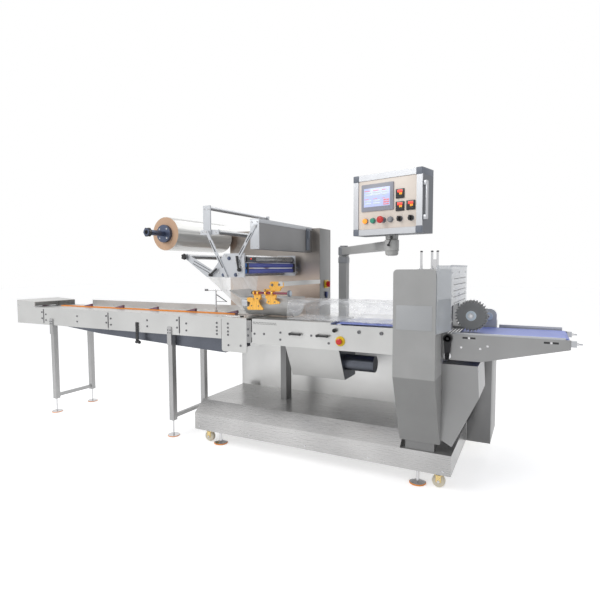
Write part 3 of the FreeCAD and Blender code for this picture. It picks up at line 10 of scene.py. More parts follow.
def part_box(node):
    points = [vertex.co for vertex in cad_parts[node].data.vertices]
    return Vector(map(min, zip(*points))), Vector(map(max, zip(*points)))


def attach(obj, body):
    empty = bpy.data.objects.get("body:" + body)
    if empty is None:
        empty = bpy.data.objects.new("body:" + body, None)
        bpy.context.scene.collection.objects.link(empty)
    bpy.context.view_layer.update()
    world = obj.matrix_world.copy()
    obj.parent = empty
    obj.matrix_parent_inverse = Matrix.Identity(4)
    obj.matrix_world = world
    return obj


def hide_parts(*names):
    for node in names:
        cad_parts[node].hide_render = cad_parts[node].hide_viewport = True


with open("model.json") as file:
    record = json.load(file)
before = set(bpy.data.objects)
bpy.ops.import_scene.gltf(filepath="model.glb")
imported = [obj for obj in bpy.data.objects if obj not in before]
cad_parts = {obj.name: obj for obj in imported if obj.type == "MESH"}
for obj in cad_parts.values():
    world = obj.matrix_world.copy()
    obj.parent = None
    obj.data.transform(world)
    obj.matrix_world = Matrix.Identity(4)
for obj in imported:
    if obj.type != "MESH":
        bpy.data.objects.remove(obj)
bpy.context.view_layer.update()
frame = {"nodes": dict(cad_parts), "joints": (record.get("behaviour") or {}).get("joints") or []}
NODES = frame["nodes"]
MM = 0.001


def box(node):
    """Lowest and highest corner of a CAD node, in millimetres."""
    return [[v / MM for v in corner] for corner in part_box(node)]


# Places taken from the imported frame: joint axes, and the faces that most pieces sit on.
AXES = {joint["name"]: [v / MM for v in joint["pos_m"]] for joint in frame["joints"]}
(_, FRONT, _), (_, REAR, _) = box("infeed_sides")
(HOOD_LEFT, PLATE_FRONT, HOOD_LOW), (HOOD_RIGHT, WALL_FRONT, HOOD_TOP) = box("film_hood")
(_, WHEEL_FRONT, _), (_, WHEEL_BACK, _) = box("press_wheel")
(_, _, CASE_LOW), (_, _, CASE_TOP) = box("panel_frame")
CABINET_BACK = box("rear_cabinet")[1][1]
DECK = box("line_deck")[1][2]
LINE_MIDDLE = (FRONT + REAR) / 2


# ---- materials ----
materials = {}


def tree(name):
    material = bpy.data.materials.new(name)
    material.use_nodes = True
    nodes, links = material.node_tree.nodes, material.node_tree.links
    shader = nodes["Principled BSDF"]
    materials[name] = material
    return material, nodes, links, shader


def stretched_noise(nodes, links, scale, detail=6.0, stretch=(1, 1, 1)):
    place = nodes.new("ShaderNodeTexCoord")
    mapping = nodes.new("ShaderNodeMapping")
    mapping.inputs["Scale"].default_value = stretch
    noise = nodes.new("ShaderNodeTexNoise")
    noise.inputs["Scale"].default_value = scale
    noise.inputs["Detail"].default_value = detail
    links.new(place.outputs["Object"], mapping.inputs["Vector"])
    links.new(mapping.outputs["Vector"], noise.inputs["Vector"])
    return noise.outputs["Fac"]


def ramp(nodes, links, source, low, high, start=0.3, end=0.7):
    item = nodes.new("ShaderNodeMapRange")
    item.inputs["From Min"].default_value = start
    item.inputs["From Max"].default_value = end
    item.inputs["To Min"].default_value = low
    item.inputs["To Max"].default_value = high
    links.new(source, item.inputs["Value"])
    return item.outputs["Result"]


def tinted(nodes, links, source, dark, light, start=0.3, end=0.7):
    item = nodes.new("ShaderNodeValToRGB")
    item.color_ramp.elements[0].position = start
    item.color_ramp.elements[0].color = (*dark, 1)
    item.color_ramp.elements[1].position = end
    item.color_ramp.elements[1].color = (*light, 1)
    links.new(source, item.inputs["Fac"])
    return item.outputs["Color"]


def bumped(nodes, links, shader, source, strength, distance):
    bump = nodes.new("ShaderNodeBump")
    bump.inputs["Strength"].default_value = strength
    bump.inputs["Distance"].default_value = distance
    links.new(source, bump.inputs["Height"])
    links.new(bump.outputs["Normal"], shader.inputs["Normal"])


def lit(shader, color, strength):
    shader.inputs["Emission Color"].default_value = (*color, 1)
    shader.inputs["Emission Strength"].default_value = strength


def textured(name, color, rough, spread, bump, depth, grain_noise, cloud_noise):
    """Material with a fine grain in roughness and bump, and clouds of darker and lighter colour."""
    _, nodes, links, shader = tree(name)
    grain = stretched_noise(nodes, links, *grain_noise)
    cloud = stretched_noise(nodes, links, *cloud_noise)
    dark = tuple(max(0.0, c * (1 - spread)) for c in color)
    light = tuple(min(1.0, c * (1 + spread)) for c in color)
    links.new(tinted(nodes, links, cloud, dark, light), shader.inputs["Base Color"])
    links.new(ramp(nodes, links, grain, *rough), shader.inputs["Roughness"])
    bumped(nodes, links, shader, grain, bump, depth)
    return shader


def metal(name, color, rough=(0.25, 0.4), stretch=(1, 1, 1), scale=60.0, spread=0.08, bump=0.06,
          metallic=0.72):
    """Brushed, cast or polished metal, its grain drawn out by the stretch."""
    shader = textured(name, color, rough, spread, bump, 0.0004, (scale, 8.0, stretch), (2.3, 3.0))
    shader.inputs["Metallic"].default_value = metallic


def plastic(name, color, rough=(0.35, 0.5), scale=900.0, spread=0.06, bump=0.12, coat=0.0, glow=None):
    """Moulded plastic, rubber or paint, which glows if it is a lamp or a display."""
    shader = textured(name, color, rough, spread, bump, 0.0003, (scale, 4.0), (7.0, 4.0))
    shader.inputs["Coat Weight"].default_value = coat
    if glow:
        lit(shader, *glow)


def clear(name, color, alpha, rough=0.06, wrinkle=0.0, scale=14.0, stretch=(1, 1, 1)):
    """See-through sheet: faint face on, denser where it turns away, with creases if it is film."""
    _, nodes, links, shader = tree(name)
    shader.inputs["Base Color"].default_value = (*color, 1)
    shader.inputs["Roughness"].default_value = rough
    shader.inputs["Specular IOR Level"].default_value = 0.9
    edge = nodes.new("ShaderNodeLayerWeight")
    edge.inputs["Blend"].default_value = 0.35
    facing = ramp(nodes, links, edge.outputs["Facing"], alpha[0], alpha[1], 0.0, 1.0)
    grain = stretched_noise(nodes, links, scale, 5.0, stretch)
    if wrinkle:
        crease = ramp(nodes, links, grain, 0.55, 1.6, 0.35, 0.68)
        scaled = nodes.new("ShaderNodeMath")
        scaled.operation = "MULTIPLY"
        scaled.use_clamp = True
        links.new(facing, scaled.inputs[0])
        links.new(crease, scaled.inputs[1])
        facing = scaled.outputs["Value"]
        bumped(nodes, links, shader, grain, wrinkle, 0.012)
    links.new(facing, shader.inputs["Alpha"])
    return shader


def by_height(name, low, high, below, above):
    """Multiply a material's colour by one of two colours, changing over between two heights in metres."""
    nodes, links = materials[name].node_tree.nodes, materials[name].node_tree.links
    shader = nodes["Principled BSDF"]
    place = nodes.new("ShaderNodeTexCoord")
    split = nodes.new("ShaderNodeSeparateXYZ")
    links.new(place.outputs["Object"], split.inputs["Vector"])
    step = ramp(nodes, links, split.outputs["Z"], 0.0, 1.0, low, high)
    shade = tinted(nodes, links, step, below, above, 0.0, 1.0)
    mix = nodes.new("ShaderNodeMix")
    mix.data_type, mix.blend_type = "RGBA", "MULTIPLY"
    mix.inputs[0].default_value = 1.0
    links.new(shader.inputs["Base Color"].links[0].from_socket, mix.inputs[6])
    links.new(shade, mix.inputs[7])
    links.new(mix.outputs[2], shader.inputs["Base Color"])


ALONG_X, ALONG_Y, ALONG_Z = (0.02, 1, 1), (1, 0.02, 1), (1, 1, 0.02)
metal("stainless", (0.58, 0.58, 0.57), (0.30, 0.34), ALONG_X, 900, 0.07, 0.012)
metal("plinth_steel", (0.50, 0.495, 0.49), (0.26, 0.30), ALONG_X, 900, 0.16, 0.012)
metal("leg_steel", (0.42, 0.42, 0.42), (0.28, 0.38), ALONG_Z, 900, 0.08, 0.012)
metal("side_steel", (0.31, 0.31, 0.31), (0.30, 0.35), ALONG_X, 900, 0.12, 0.012)
# Lighter copy of stainless for the rear cabinet and its doors: painted light against the shade that the line
# above casts.
metal("stainless_tall", (0.78, 0.78, 0.77), (0.28, 0.38), ALONG_Z, 900, 0.08, 0.012)
metal("pan_steel", (0.12, 0.13, 0.155), (0.25, 0.38), ALONG_X, 900, 0.2, 0.012)
metal("bolt_steel", (0.20, 0.20, 0.21), (0.2, 0.3), (1, 1, 1), 400, 0.1, 0.01)
metal("post_steel", (0.20, 0.20, 0.20), (0.28, 0.38), ALONG_Z, 900, 0.15, 0.012)
metal("wall_steel", (0.62, 0.525, 0.465), (0.28, 0.32), ALONG_Z, 900, 0.12, 0.012)
metal("stainless_dark", (0.22, 0.22, 0.225), (0.30, 0.42), ALONG_X, 900, 0.1, 0.012)
metal("polished", (0.62, 0.62, 0.63), (0.10, 0.18), (1, 1, 1), 200, 0.04, 0.02, 1.0)
metal("aluminium", (0.50, 0.51, 0.53), (0.30, 0.42), (1, 1, 1), 500, 0.05, 0.05)
metal("aluminium_pale", (0.52, 0.535, 0.56), (0.38, 0.48), (1, 1, 1), 500, 0.05, 0.02, 0.5)
metal("gold", (0.86, 0.47, 0.10), (0.24, 0.36), ALONG_Z, 400, 0.10)
metal("brass", (0.86, 0.66, 0.30), (0.22, 0.34), (1, 1, 1), 300, 0.10)
metal("jaw_steel", (0.17, 0.17, 0.20), (0.30, 0.45), ALONG_Y, 300, 0.15)
metal("trough_steel", (0.55, 0.55, 0.545), (0.34, 0.55), (1, 1, 1), 45, 0.24, 0.35, 0.4)
plastic("grey_paint", (0.38, 0.385, 0.385), (0.42, 0.55), 700, 0.03, 0.08)
plastic("tower_paint", (0.42, 0.42, 0.415), (0.42, 0.58), 160, 0.05, 0.10)
plastic("arm_paint", (0.50, 0.50, 0.49), (0.40, 0.52), 500, 0.05, 0.08)
plastic("case_grey", (0.17, 0.18, 0.20), (0.40, 0.52), 500, 0.06, 0.08)
metal("shaft_blue", (0.10, 0.12, 0.18), (0.25, 0.38), (1, 1, 1), 400, 0.15, 0.02)
metal("roller_steel", (0.36, 0.37, 0.38), (0.22, 0.32), ALONG_Y, 700, 0.06, 0.012, 0.62)
plastic("bright_blue", (0.03, 0.20, 0.60), (0.3, 0.4), 700, 0.08, 0.06)
plastic("roll_tan", (0.62, 0.40, 0.26), (0.35, 0.5), 300, 0.05, 0.03)
plastic("plate_grey", (0.46, 0.47, 0.48), (0.35, 0.45), 700, 0.03, 0.05)
plastic("dark_metal", (0.055, 0.05, 0.06), (0.30, 0.42), 500, 0.15, 0.10)
plastic("lug_purple", (0.20, 0.11, 0.16), (0.28, 0.40), 600, 0.12, 0.10)
plastic("orange_plastic", (0.90, 0.30, 0.035), (0.35, 0.5), 800, 0.08, 0.10)
plastic("blue_belt", (0.24, 0.30, 0.72), (0.42, 0.56), 900, 0.07, 0.05)
plastic("blue_rubber", (0.10, 0.13, 0.50), (0.35, 0.5), 900, 0.08, 0.10)
plastic("black_rubber", (0.022, 0.022, 0.024), (0.45, 0.6), 900, 0.15, 0.15)
plastic("black_plastic", (0.02, 0.02, 0.022), (0.22, 0.34), 900, 0.15, 0.06)
plastic("grey_plastic", (0.21, 0.215, 0.22), (0.42, 0.55), 600, 0.10, 0.14)
plastic("mid_grey", (0.30, 0.31, 0.33), (0.38, 0.5), 600, 0.08, 0.10)
plastic("red_plastic", (0.68, 0.02, 0.02), (0.22, 0.32), 900, 0.06, 0.04, 0.3)
plastic("yellow_plastic", (0.92, 0.66, 0.03), (0.32, 0.42), 900, 0.05, 0.06)
plastic("green_plastic", (0.03, 0.34, 0.22), (0.25, 0.35), 900, 0.06, 0.04, 0.3)
plastic("dark_red", (0.26, 0.02, 0.05), (0.18, 0.28), 900, 0.08, 0.04, 0.4)
plastic("panel_beige", (0.92, 0.82, 0.73), (0.32, 0.42), 60, 0.05, 0.01)
plastic("bezel_grey", (0.36, 0.37, 0.43), (0.35, 0.45), 600, 0.04, 0.05)
plastic("cream", (0.80, 0.74, 0.60), (0.4, 0.55), 700, 0.06, 0.12)
plastic("blue_grey", (0.17, 0.19, 0.23), (0.38, 0.5), 700, 0.05, 0.10)
plastic("hub_blue", (0.62, 0.70, 0.78), (0.30, 0.42), 700, 0.05, 0.08)
plastic("dark_blue", (0.03, 0.05, 0.18), (0.35, 0.45), 700, 0.08, 0.08)
plastic("black_glass", (0.012, 0.014, 0.018), (0.06, 0.12), 200, 0.10, 0.01, 0.5)
plastic("display", (0.52, 0.58, 0.86), (0.10, 0.18), 60, 0.05, 0.0, 0.4, ((0.52, 0.60, 0.95), 0.35))
plastic("display_red", (0.80, 0.25, 0.32), (0.10, 0.18), 60, 0.05, 0.0, 0.4, ((0.80, 0.2, 0.25), 0.25))
plastic("display_pale", (0.62, 0.70, 0.76), (0.10, 0.18), 60, 0.05, 0.0, 0.4, ((0.6, 0.7, 0.78), 0.25))
plastic("lit_orange", (0.95, 0.35, 0.03), (0.2, 0.3), 500, 0.05, 0.02, 0.4, ((1.0, 0.35, 0.03), 0.6))
plastic("lit_red", (0.90, 0.04, 0.02), (0.2, 0.3), 500, 0.05, 0.02, 0.4, ((1.0, 0.06, 0.03), 1.2))
plastic("lit_amber", (0.95, 0.45, 0.02), (0.2, 0.3), 500, 0.05, 0.02, 0.4, ((1.0, 0.5, 0.02), 0.8))
by_height("wall_steel", 1.14, 1.30, (1.0, 0.97, 0.93), (0.56, 0.60, 0.62))
by_height("tower_paint", 0.664, 0.670, (0.74, 0.74, 0.74), (1.0, 1.0, 1.0))
clear("clear_sheet", (0.74, 0.77, 0.80), (0.34, 0.88))
clear("film", (0.92, 0.93, 0.95), (0.15, 0.95), 0.10, 1.0, 26.0, (0.5, 1, 1))
web_shader = clear("film_web", (0.92, 0.92, 0.91), (0.42, 0.85), 0.25, 0.5, 7.0, (1, 1, 0.35))
# The film web glows faintly: painted light on a sheet that is no lamp, so it reads pale against the white
# backdrop.
lit(web_shader, (0.9, 0.9, 0.88), 0.28)
metal("film_roll", (0.70, 0.70, 0.68), (0.10, 0.22), ALONG_X, 260, 0.06, 0.05, 0.35)

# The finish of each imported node.
FINISHES = {
    "plinth_steel": "base_plinth", "stainless_tall": "rear_cabinet", "wall_steel": "film_wall",
    "yellow_plastic": "switch_plate", "red_plastic": "switch_handle emergency_stop",
    "stainless": "infeed_sides line_deck tail_cover product_rail bed_sides former_arm",
    "stainless_dark": "cross_bars film_hood", "orange_plastic": "chain_rails",
    "lug_purple": "pusher_chain", "polished": "line_rollers tower_rods levelling_feet",
    # The seal box's dark pan_steel finish is painted shade; its sloping front gets a stainless plate further
    # down.
    "pan_steel": "belly_pan seal_box", "leg_steel": "infeed_legs",
    "black_plastic": "line_handles panel_controls", "blue_belt": "conveyor_belts",
    "post_steel": "support_posts", "tower_paint": "tower_cover tower_rear",
    "jaw_steel": "upper_jaw lower_jaw", "clear_sheet": "clear_guard",
    "side_steel": "drive_guard discharge_sides", "black_rubber": "drive_strap",
    "aluminium": "tension_blocks roll_bearing panel_frame panel_handle", "grey_plastic": "press_wheel",
    "aluminium_pale": "press_carrier film_plates film_frame", "roller_steel": "guide_rollers",
    "blue_rubber": "nip_rollers", "film_roll": "film_roll", "shaft_blue": "film_shaft",
    "gold": "former_brackets", "dark_red": "former_spindle", "trough_steel": "former_trough",
    "film": "wrapping_film", "grey_paint": "panel_mast", "arm_paint": "panel_arm",
    "case_grey": "panel_box", "brass": "castors", "dark_metal": "width_adjuster",
}
for finish, names in FINISHES.items():
    for name in names.split():
        NODES[name].data.materials.clear()
        NODES[name].data.materials.append(materials[finish])


# ---- mesh building ----
# The material slot of each finish whose slot has another name. The last two have no slot.
SLOT_FINISHES = {
    "stainless_dark": "bolt_steel post_steel", "stainless": "side_steel stainless_tall",
    "aluminium": "aluminium_pale hub_blue blue_grey", "grey_paint": "plate_grey mid_grey arm_paint",
    "grey_plastic": "bezel_grey", "dark_metal": "shaft_blue dark_blue", "blue_rubber": "bright_blue",
    "film_roll": "roll_tan", "red_plastic": "lit_red", "yellow_plastic": "lit_amber",
    "black_plastic": "display display_pale display_red black_glass", None: "cream panel_beige",
}
SLOTS = {finish: slot for slot, names in SLOT_FINISHES.items() for finish in names.split()}


def add_object(name, mesh, finish, body, sharp_angle=None):
    """Turn a bmesh in millimetres into an object that rides on a body."""
    bmesh.ops.scale(mesh, vec=(MM, MM, MM), verts=mesh.verts)
    data = bpy.data.meshes.new(name)
    mesh.to_mesh(data)
    mesh.free()
    for polygon in data.polygons:
        polygon.use_smooth = True
    if sharp_angle:
        data.set_sharp_from_angle(angle=math.radians(sharp_angle))
    data.materials.append(materials[finish])
    item = bpy.data.objects.new(name, data)
    bpy.context.scene.collection.objects.link(item)
    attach(item, body)
    return item


def about(x, z, angle):
    """Turn by an angle about an axis along Y."""
    return (Matrix.Translation((x, 0, z)) @ Matrix.Rotation(angle, 4, "Y")
            @ Matrix.Translation((-x, 0, -z)))


def circle(count, radius, start=0.0):
    """(x, z) steps from a centre to points spaced evenly on a circle."""
    angles = [start + 2 * math.pi * k / count for k in range(count)]
    return [(radius * math.cos(a), radius * math.sin(a)) for a in angles]


class Piece:
    """One piece of the scene, gathered from rounded solids in millimetres and made at the end."""

    gathered = []

    def __init__(self, name, finish, body="machine", slot=None, replaces=None):
        self.name, self.finish, self.body, self.replaces = name, finish, body, replaces
        self.slot = slot or SLOTS.get(finish, finish)
        self.mesh = bmesh.new()
        Piece.gathered.append(self)

    def _place(self, verts, turn):
        if turn:
            bmesh.ops.transform(self.mesh, matrix=turn, verts=verts)

    def block(self, low, high, round_by=0.0, turn=None, segments=2):
        size = [h - l for l, h in zip(low, high)]
        middle = [(h + l) / 2 for l, h in zip(low, high)]
        made = bmesh.ops.create_cube(self.mesh, size=1.0)["verts"]
        bmesh.ops.transform(self.mesh, matrix=Matrix.Translation(middle) @ Matrix.Diagonal((*size, 1)),
                            verts=made)
        if round_by:
            edges = list({e for v in made for e in v.link_edges})
            result = bmesh.ops.bevel(self.mesh, geom=edges, offset=min(round_by, min(size) * 0.45),
                                     segments=segments, affect="EDGES", profile=0.5)
            made = list({v for f in result["faces"] for v in f.verts} | {v for v in made if v.is_valid})
        self._place(made, turn)
        return self

    def turned(self, axis, centre, profile, sides=32, turn=None):
        """Solid of revolution: profile is (radius, place along the axis) pairs, closed on the axis."""
        rings, made = [], []
        for radius, along in profile:
            if radius <= 0:
                verts = [self.mesh.verts.new((0, 0, along))]
            else:
                verts = [self.mesh.verts.new((radius * math.cos(2 * math.pi * k / sides),
                                              radius * math.sin(2 * math.pi * k / sides), along))
                         for k in range(sides)]
            rings.append(verts)
            made += verts
        for a, b in zip(rings, rings[1:]):
            for k in range(sides):
                n = (k + 1) % sides
                if len(a) == 1 and len(b) == 1:
                    break
                if len(a) == 1:
                    self.mesh.faces.new((a[0], b[n], b[k]))
                elif len(b) == 1:
                    self.mesh.faces.new((a[k], a[n], b[0]))
                else:
                    self.mesh.faces.new((a[k], a[n], b[n], b[k]))
        for ring, flip in ((rings[0], True), (rings[-1], False)):
            if len(ring) > 1:
                self.mesh.faces.new(ring[::-1] if flip else ring)
        spin = {"X": Matrix(((0, 0, 1, 0), (0, 1, 0, 0), (-1, 0, 0, 0), (0, 0, 0, 1))),
                "Y": Matrix(((1, 0, 0, 0), (0, 0, 1, 0), (0, -1, 0, 0), (0, 0, 0, 1))),
                "Z": Matrix.Identity(4)}[axis]
        bmesh.ops.transform(self.mesh, matrix=Matrix.Translation(centre) @ spin, verts=made)
        self._place(made, turn)
        return self

    def slab(self, corners, step):
        """Plate with these corners, made thick by a step."""
        front = [self.mesh.verts.new(corner) for corner in corners]
        rear = [self.mesh.verts.new(Vector(corner) + Vector(step)) for corner in corners]
        self.mesh.faces.new(front)
        self.mesh.faces.new(rear[::-1])
        for k in range(len(corners)):
            n = (k + 1) % len(corners)
            self.mesh.faces.new((front[k], rear[k], rear[n], front[n]))
        return self

    def outline(self, points, near, far):
        """Plate with an outline of (x, z) points, between two places on Y."""
        return self.slab([(x, near, z) for x, z in points], (0, far - near, 0))

    def rod(self, axis, centre, radius, length, chamfer=0.6, sides=28, turn=None):
        """Rod from centre along the axis, its ends chamfered."""
        c = min(chamfer, radius * 0.4, abs(length) * 0.4)
        s = 1 if length > 0 else -1
        profile = [(radius - c, 0), (radius, s * c), (radius, length - s * c), (radius - c, length)]
        if length < 0:
            profile = profile[::-1]
        return self.turned(axis, centre, profile, sides, turn)

    def bolt(self, axis, centre, size, out=1, turn=None):
        """Hexagon head on a washer; out is the way the head points along the axis."""
        self.rod(axis, centre, size * 1.05, out * size * 0.18, 0.1, 20, turn)
        head = [(size * 0.78, out * size * 0.18), (size * 0.88, out * size * 0.26),
                (size * 0.88, out * size * 0.62), (size * 0.74, out * size * 0.74)]
        self.turned(axis, centre, head if out > 0 else head[::-1], 6, turn)
        return self

    def screw(self, axis, centre, size, out=1, turn=None):
        """Round socket head screw."""
        profile = [(size, 0), (size, out * size * 0.55), (size * 0.8, out * size * 0.75),
                   (size * 0.45, out * size * 0.75), (size * 0.4, out * size * 0.35), (0, out * size * 0.35)]
        self.turned(axis, centre, profile if out > 0 else profile[::-1], 18, turn)
        return self

    def heads(self, kind, plane, spots, size, out=-1):
        """Screws or bolts at (x, z) spots on a plane across Y."""
        for x, z in spots:
            getattr(self, kind)("Y", (x, plane, z), size, out)

    def done(self):
        bmesh.ops.recalc_face_normals(self.mesh, faces=self.mesh.faces)
        item = add_object(self.name, self.mesh, self.finish, self.body, 35)
        if self.replaces:
            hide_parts(self.replaces)


# ---- camera, light and floor ----
FOCAL_SHARE = 0.77771972  # focal length over the width of the picture, fitted to the photograph


def make_camera():
    azimuth, pitch, roll = math.radians(26.894868), math.radians(3.866140), math.radians(-0.211010)
    ahead = Vector((-math.sin(azimuth) * math.cos(pitch), math.cos(azimuth) * math.cos(pitch),
                    -math.sin(pitch)))
    level = Vector((math.cos(azimuth), math.sin(azimuth), 0))
    above = level.cross(ahead)
    right = math.cos(roll) * level + math.sin(roll) * above
    up = -math.sin(roll) * level + math.cos(roll) * above
    data = bpy.data.cameras.new("camera")
    data.sensor_width = 36.0
    data.lens = FOCAL_SHARE * data.sensor_width
    data.clip_end = 200
    camera = bpy.data.objects.new("camera", data)
    turn = Matrix((right, up, -ahead)).transposed().to_4x4()
    camera.matrix_world = Matrix.Translation((2.004376, -2.990299, 1.25)) @ turn
    bpy.context.scene.collection.objects.link(camera)
    bpy.context.scene.camera = camera


def light(name, place, target, size, power):
    data = bpy.data.lights.new(name, "AREA")
    data.shape = "RECTANGLE"
    data.size, data.size_y = size
    data.energy = power
    item = bpy.data.objects.new(name, data)
    item.matrix_world = (Matrix.Translation(place)
                         @ (Vector(target) - Vector(place)).to_track_quat("-Z", "Y").to_matrix().to_4x4())
    bpy.context.scene.collection.objects.link(item)


def seen_rays(nodes, links):
    """1 for camera, mirror and see-through rays."""
    path = nodes.new("ShaderNodeLightPath")
    total = path.outputs["Is Camera Ray"]
    for name in ("Is Glossy Ray", "Is Transmission Ray"):
        item = nodes.new("ShaderNodeMath")
        item.operation = "MAXIMUM"
        links.new(total, item.inputs[0])
        links.new(path.outputs[name], item.inputs[1])
        total = item.outputs["Value"]
    return total


def make_stage():
    world = bpy.data.worlds.new("studio")
    bpy.context.scene.world = world
    world.use_nodes = True
    nodes, links = world.node_tree.nodes, world.node_tree.links
    seen = nodes["Background"]
    seen.inputs["Color"].default_value = (1, 1, 1, 1)
    seen.inputs["Strength"].default_value = 1.0
    dim = nodes.new("ShaderNodeBackground")
    dim.inputs["Color"].default_value = (0.97, 0.98, 1.0, 1)
    dim.inputs["Strength"].default_value = 0.50
    mix = nodes.new("ShaderNodeMixShader")
    links.new(seen_rays(nodes, links), mix.inputs["Fac"])
    links.new(dim.outputs["Background"], mix.inputs[1])
    links.new(seen.outputs["Background"], mix.inputs[2])
    links.new(mix.outputs["Shader"], nodes["World Output"].inputs["Surface"])

    mesh = bpy.data.meshes.new("floor")
    reach = 30.0
    mesh.from_pydata([(-reach, -reach, 0), (reach, -reach, 0), (reach, reach, 0), (-reach, reach, 0)], [],
                     [(0, 1, 2, 3)])
    floor = bpy.data.objects.new("floor", mesh)
    floor.location.z = -0.0005
    material, nodes, links, shader = tree("floor")
    shader.inputs["Base Color"].default_value = (0.86, 0.86, 0.86, 1)
    shader.inputs["Roughness"].default_value = 0.8
    glow = nodes.new("ShaderNodeEmission")
    glow.inputs["Strength"].default_value = 0.52
    both = nodes.new("ShaderNodeAddShader")
    links.new(shader.outputs["BSDF"], both.inputs[0])
    links.new(glow.outputs["Emission"], both.inputs[1])
    mix = nodes.new("ShaderNodeMixShader")
    links.new(seen_rays(nodes, links), mix.inputs["Fac"])
    links.new(shader.outputs["BSDF"], mix.inputs[1])
    links.new(both.outputs["Shader"], mix.inputs[2])
    links.new(mix.outputs["Shader"], nodes["Material Output"].inputs["Surface"])
    mesh.materials.append(material)
    bpy.context.scene.collection.objects.link(floor)

    light("key", (-2.5, -4.5, 4.5), (0, 0, 0.8), (4.0, 3.0), 150)
    light("side", (5.0, -2.0, 3.5), (0.5, 0, 0.9), (3.0, 3.0), 18)
    light("back", (0.5, 4.5, 4.5), (0, 0, 0.8), (5.0, 2.5), 60)
    bpy.context.scene.view_settings.view_transform = "Standard"


make_camera()
make_stage()

# ---- feet and castors ----
foot_spots = [(x, y) for x in (10.5, 1416.5) for y in (-324.0, 549.0)]
rings = Piece("foot_rings", "orange_plastic")
for x, y in foot_spots:
    rings.turned("Z", (x, y, 0), [(47.5, 1.5), (49, 3), (49, 7), (46.5, 9.5), (40, 9.5), (40, 1.5)], 40)
leg_spots = [(x, y) for x in (-1737.5, -402.5) for y in (-354.0, 14.0)]
for x, y in leg_spots:
    rings.turned("Z", (x, y, 0), [(43, 1), (44.2, 2), (44.2, 5), (42.5, 6.5), (38, 6.5), (38, 1)], 36)

TREAD = [(14, 0), (30, 0), (35.5, 2.5), (37, 7), (37, 23), (35.5, 27.5), (30, 30), (14, 30)]
castor_spots = [(x, y) for x in (-82.5, 1536.5) for y in (-324.0, 549.0)]
forks = Piece("castor_forks", "brass", replaces="castors")
wheels = Piece("castor_wheels", "cream")
caps = Piece("castor_hubs", "polished")
for x, y in castor_spots:
    wheels.turned("Y", (x, y - 15, 40), TREAD, 40)
    for side in (-1, 1):
        face = y + side * 17.6
        forks.block((x - 15, face - 2.4, 34), (x + 15, face + 2.4, 94), 2.2)
        forks.block((x - 22, face - 2.4, 74), (x + 22, face + 2.4, 94), 2.2)
        caps.bolt("Y", (x, face + side * 2.4, 40), 7, side)
    forks.turned("Z", (x, y, 0), [(30, 90), (33, 92), (33, 95), (26, 97)], 32)
    forks.block((x - 38, y - 38, 97), (x + 38, y + 38, 102), 1.6)
    for dx in (-29, 29):
        for dy in (-29, 29):
            caps.bolt("Z", (x + dx, y + dy, 97), 5, -1)


# ---- bolts and seams of the conveyor ----
def through_bolts(piece, spots, size):
    """Bolts at (x, z) spots, on both sides of the line."""
    piece.heads("bolt", FRONT, spots, size)
    piece.heads("bolt", REAR, spots, size, 1)


bolts = Piece("line_bolts", "bolt_steel")
screws = Piece("deck_screws", "stainless_dark")
seam_strips = Piece("line_seams", "dark_metal")
SEAMS = (-1843.5, -1043.5, -309.5)
LINE_BOLTS = [(seam + step, height) for seam in SEAMS
              for step, height in ((-22, 876), (-22, 822), (30, 858), (30, 808)) if seam < -1000 or step < 0]
LINE_BOLTS += [(-1411, 860), (-1411, 814), (-625, 862), (-625, 816), (-245, 857), (-245, 806)]
DROP_BOLTS = [(x, height) for x in (27, 121) for height in (874, 846, 820, 797)] + [(124, 725), (224, 728)]
BED_BOLTS = [(336, 817), (410, 820), (534, 836), (533, 790), (755, 830), (874, 790)]
DECK_SCREW = [(5, -0.4), (5, 0.3), (2.4, 0.4), (2.2, -0.2), (0, -0.2)]
through_bolts(bolts, LINE_BOLTS + DROP_BOLTS, 7.5)
for seam in SEAMS:
    for low, high in ((FRONT - 1.2, FRONT + 0.6), (REAR - 0.6, REAR + 1.2)):
        seam_strips.block((seam - 5, low, 782), (seam + 5, high, 903), 0.4)
joint_plate = Piece("joint_plates", "side_steel")
for low, high in ((FRONT, FRONT + 3), (REAR - 3, REAR)):
    joint_plate.block((272.5, low, 752), (311, high, 904.5), 0.6)
through_bolts(bolts, ((284, 844), (284, 802)), 8)
for x, y in leg_spots:
    face, out = (FRONT - 8, -1) if y < 0 else (REAR + 8, 1)
    for height in (780, 801):
        for step in (-11, 11):
            bolts.bolt("Y", (x + step, face, height), 5, out)
for x in (*range(-1900, 260, 240), 345, 470, 600, 730, 860):
    for y in (FRONT + 18, REAR - 18):
        screws.turned("Z", (x, y, DECK), DECK_SCREW, 18)
through_bolts(bolts, BED_BOLTS, 7.5)
bolts.heads("screw", FRONT, ((1070.5, 871), (1207.5, 871)), 11)

# perforated strip let into the bed
perforation = Piece("bed_perforation", "black_plastic")
for column in range(15):
    for row in range(2):
        perforation.turned("Y", (328 + column * 12 + row * 6, FRONT, 894 - row * 9),
                           [(0, -0.5), (3.0, -0.5), (3.0, 0.3)], 12)

# chain plates, from the tail to the former
CHAIN_PITCH = 25.4
links = Piece("chain_links", "polished")
for k in range(88):
    x = -2110 + k * CHAIN_PITCH
    links.block((x - 10, LINE_MIDDLE - 3.2, DECK - 6.5), (x + 10, LINE_MIDDLE + 3.2, DECK - 1.4), 1.6)

# ---- emergency stop, levers and adjuster ----
STOP = (950.5, FRONT, 808)
STOP_COLLAR = [(31, 0), (31, -4), (28.5, -7.5), (16, -7.5), (15, -8.5), (15, 0)]
STOP_CAP = [(12.5, -7), (12.5, -18), (17.5, -20), (19, -23), (18.5, -28), (14, -31.2), (0, -32)]
Piece("stop_collar", "yellow_plastic", replaces="emergency_stop").turned("Y", STOP, STOP_COLLAR[::-1], 48)
Piece("stop_button", "red_plastic").turned("Y", STOP, STOP_CAP[::-1], 40)

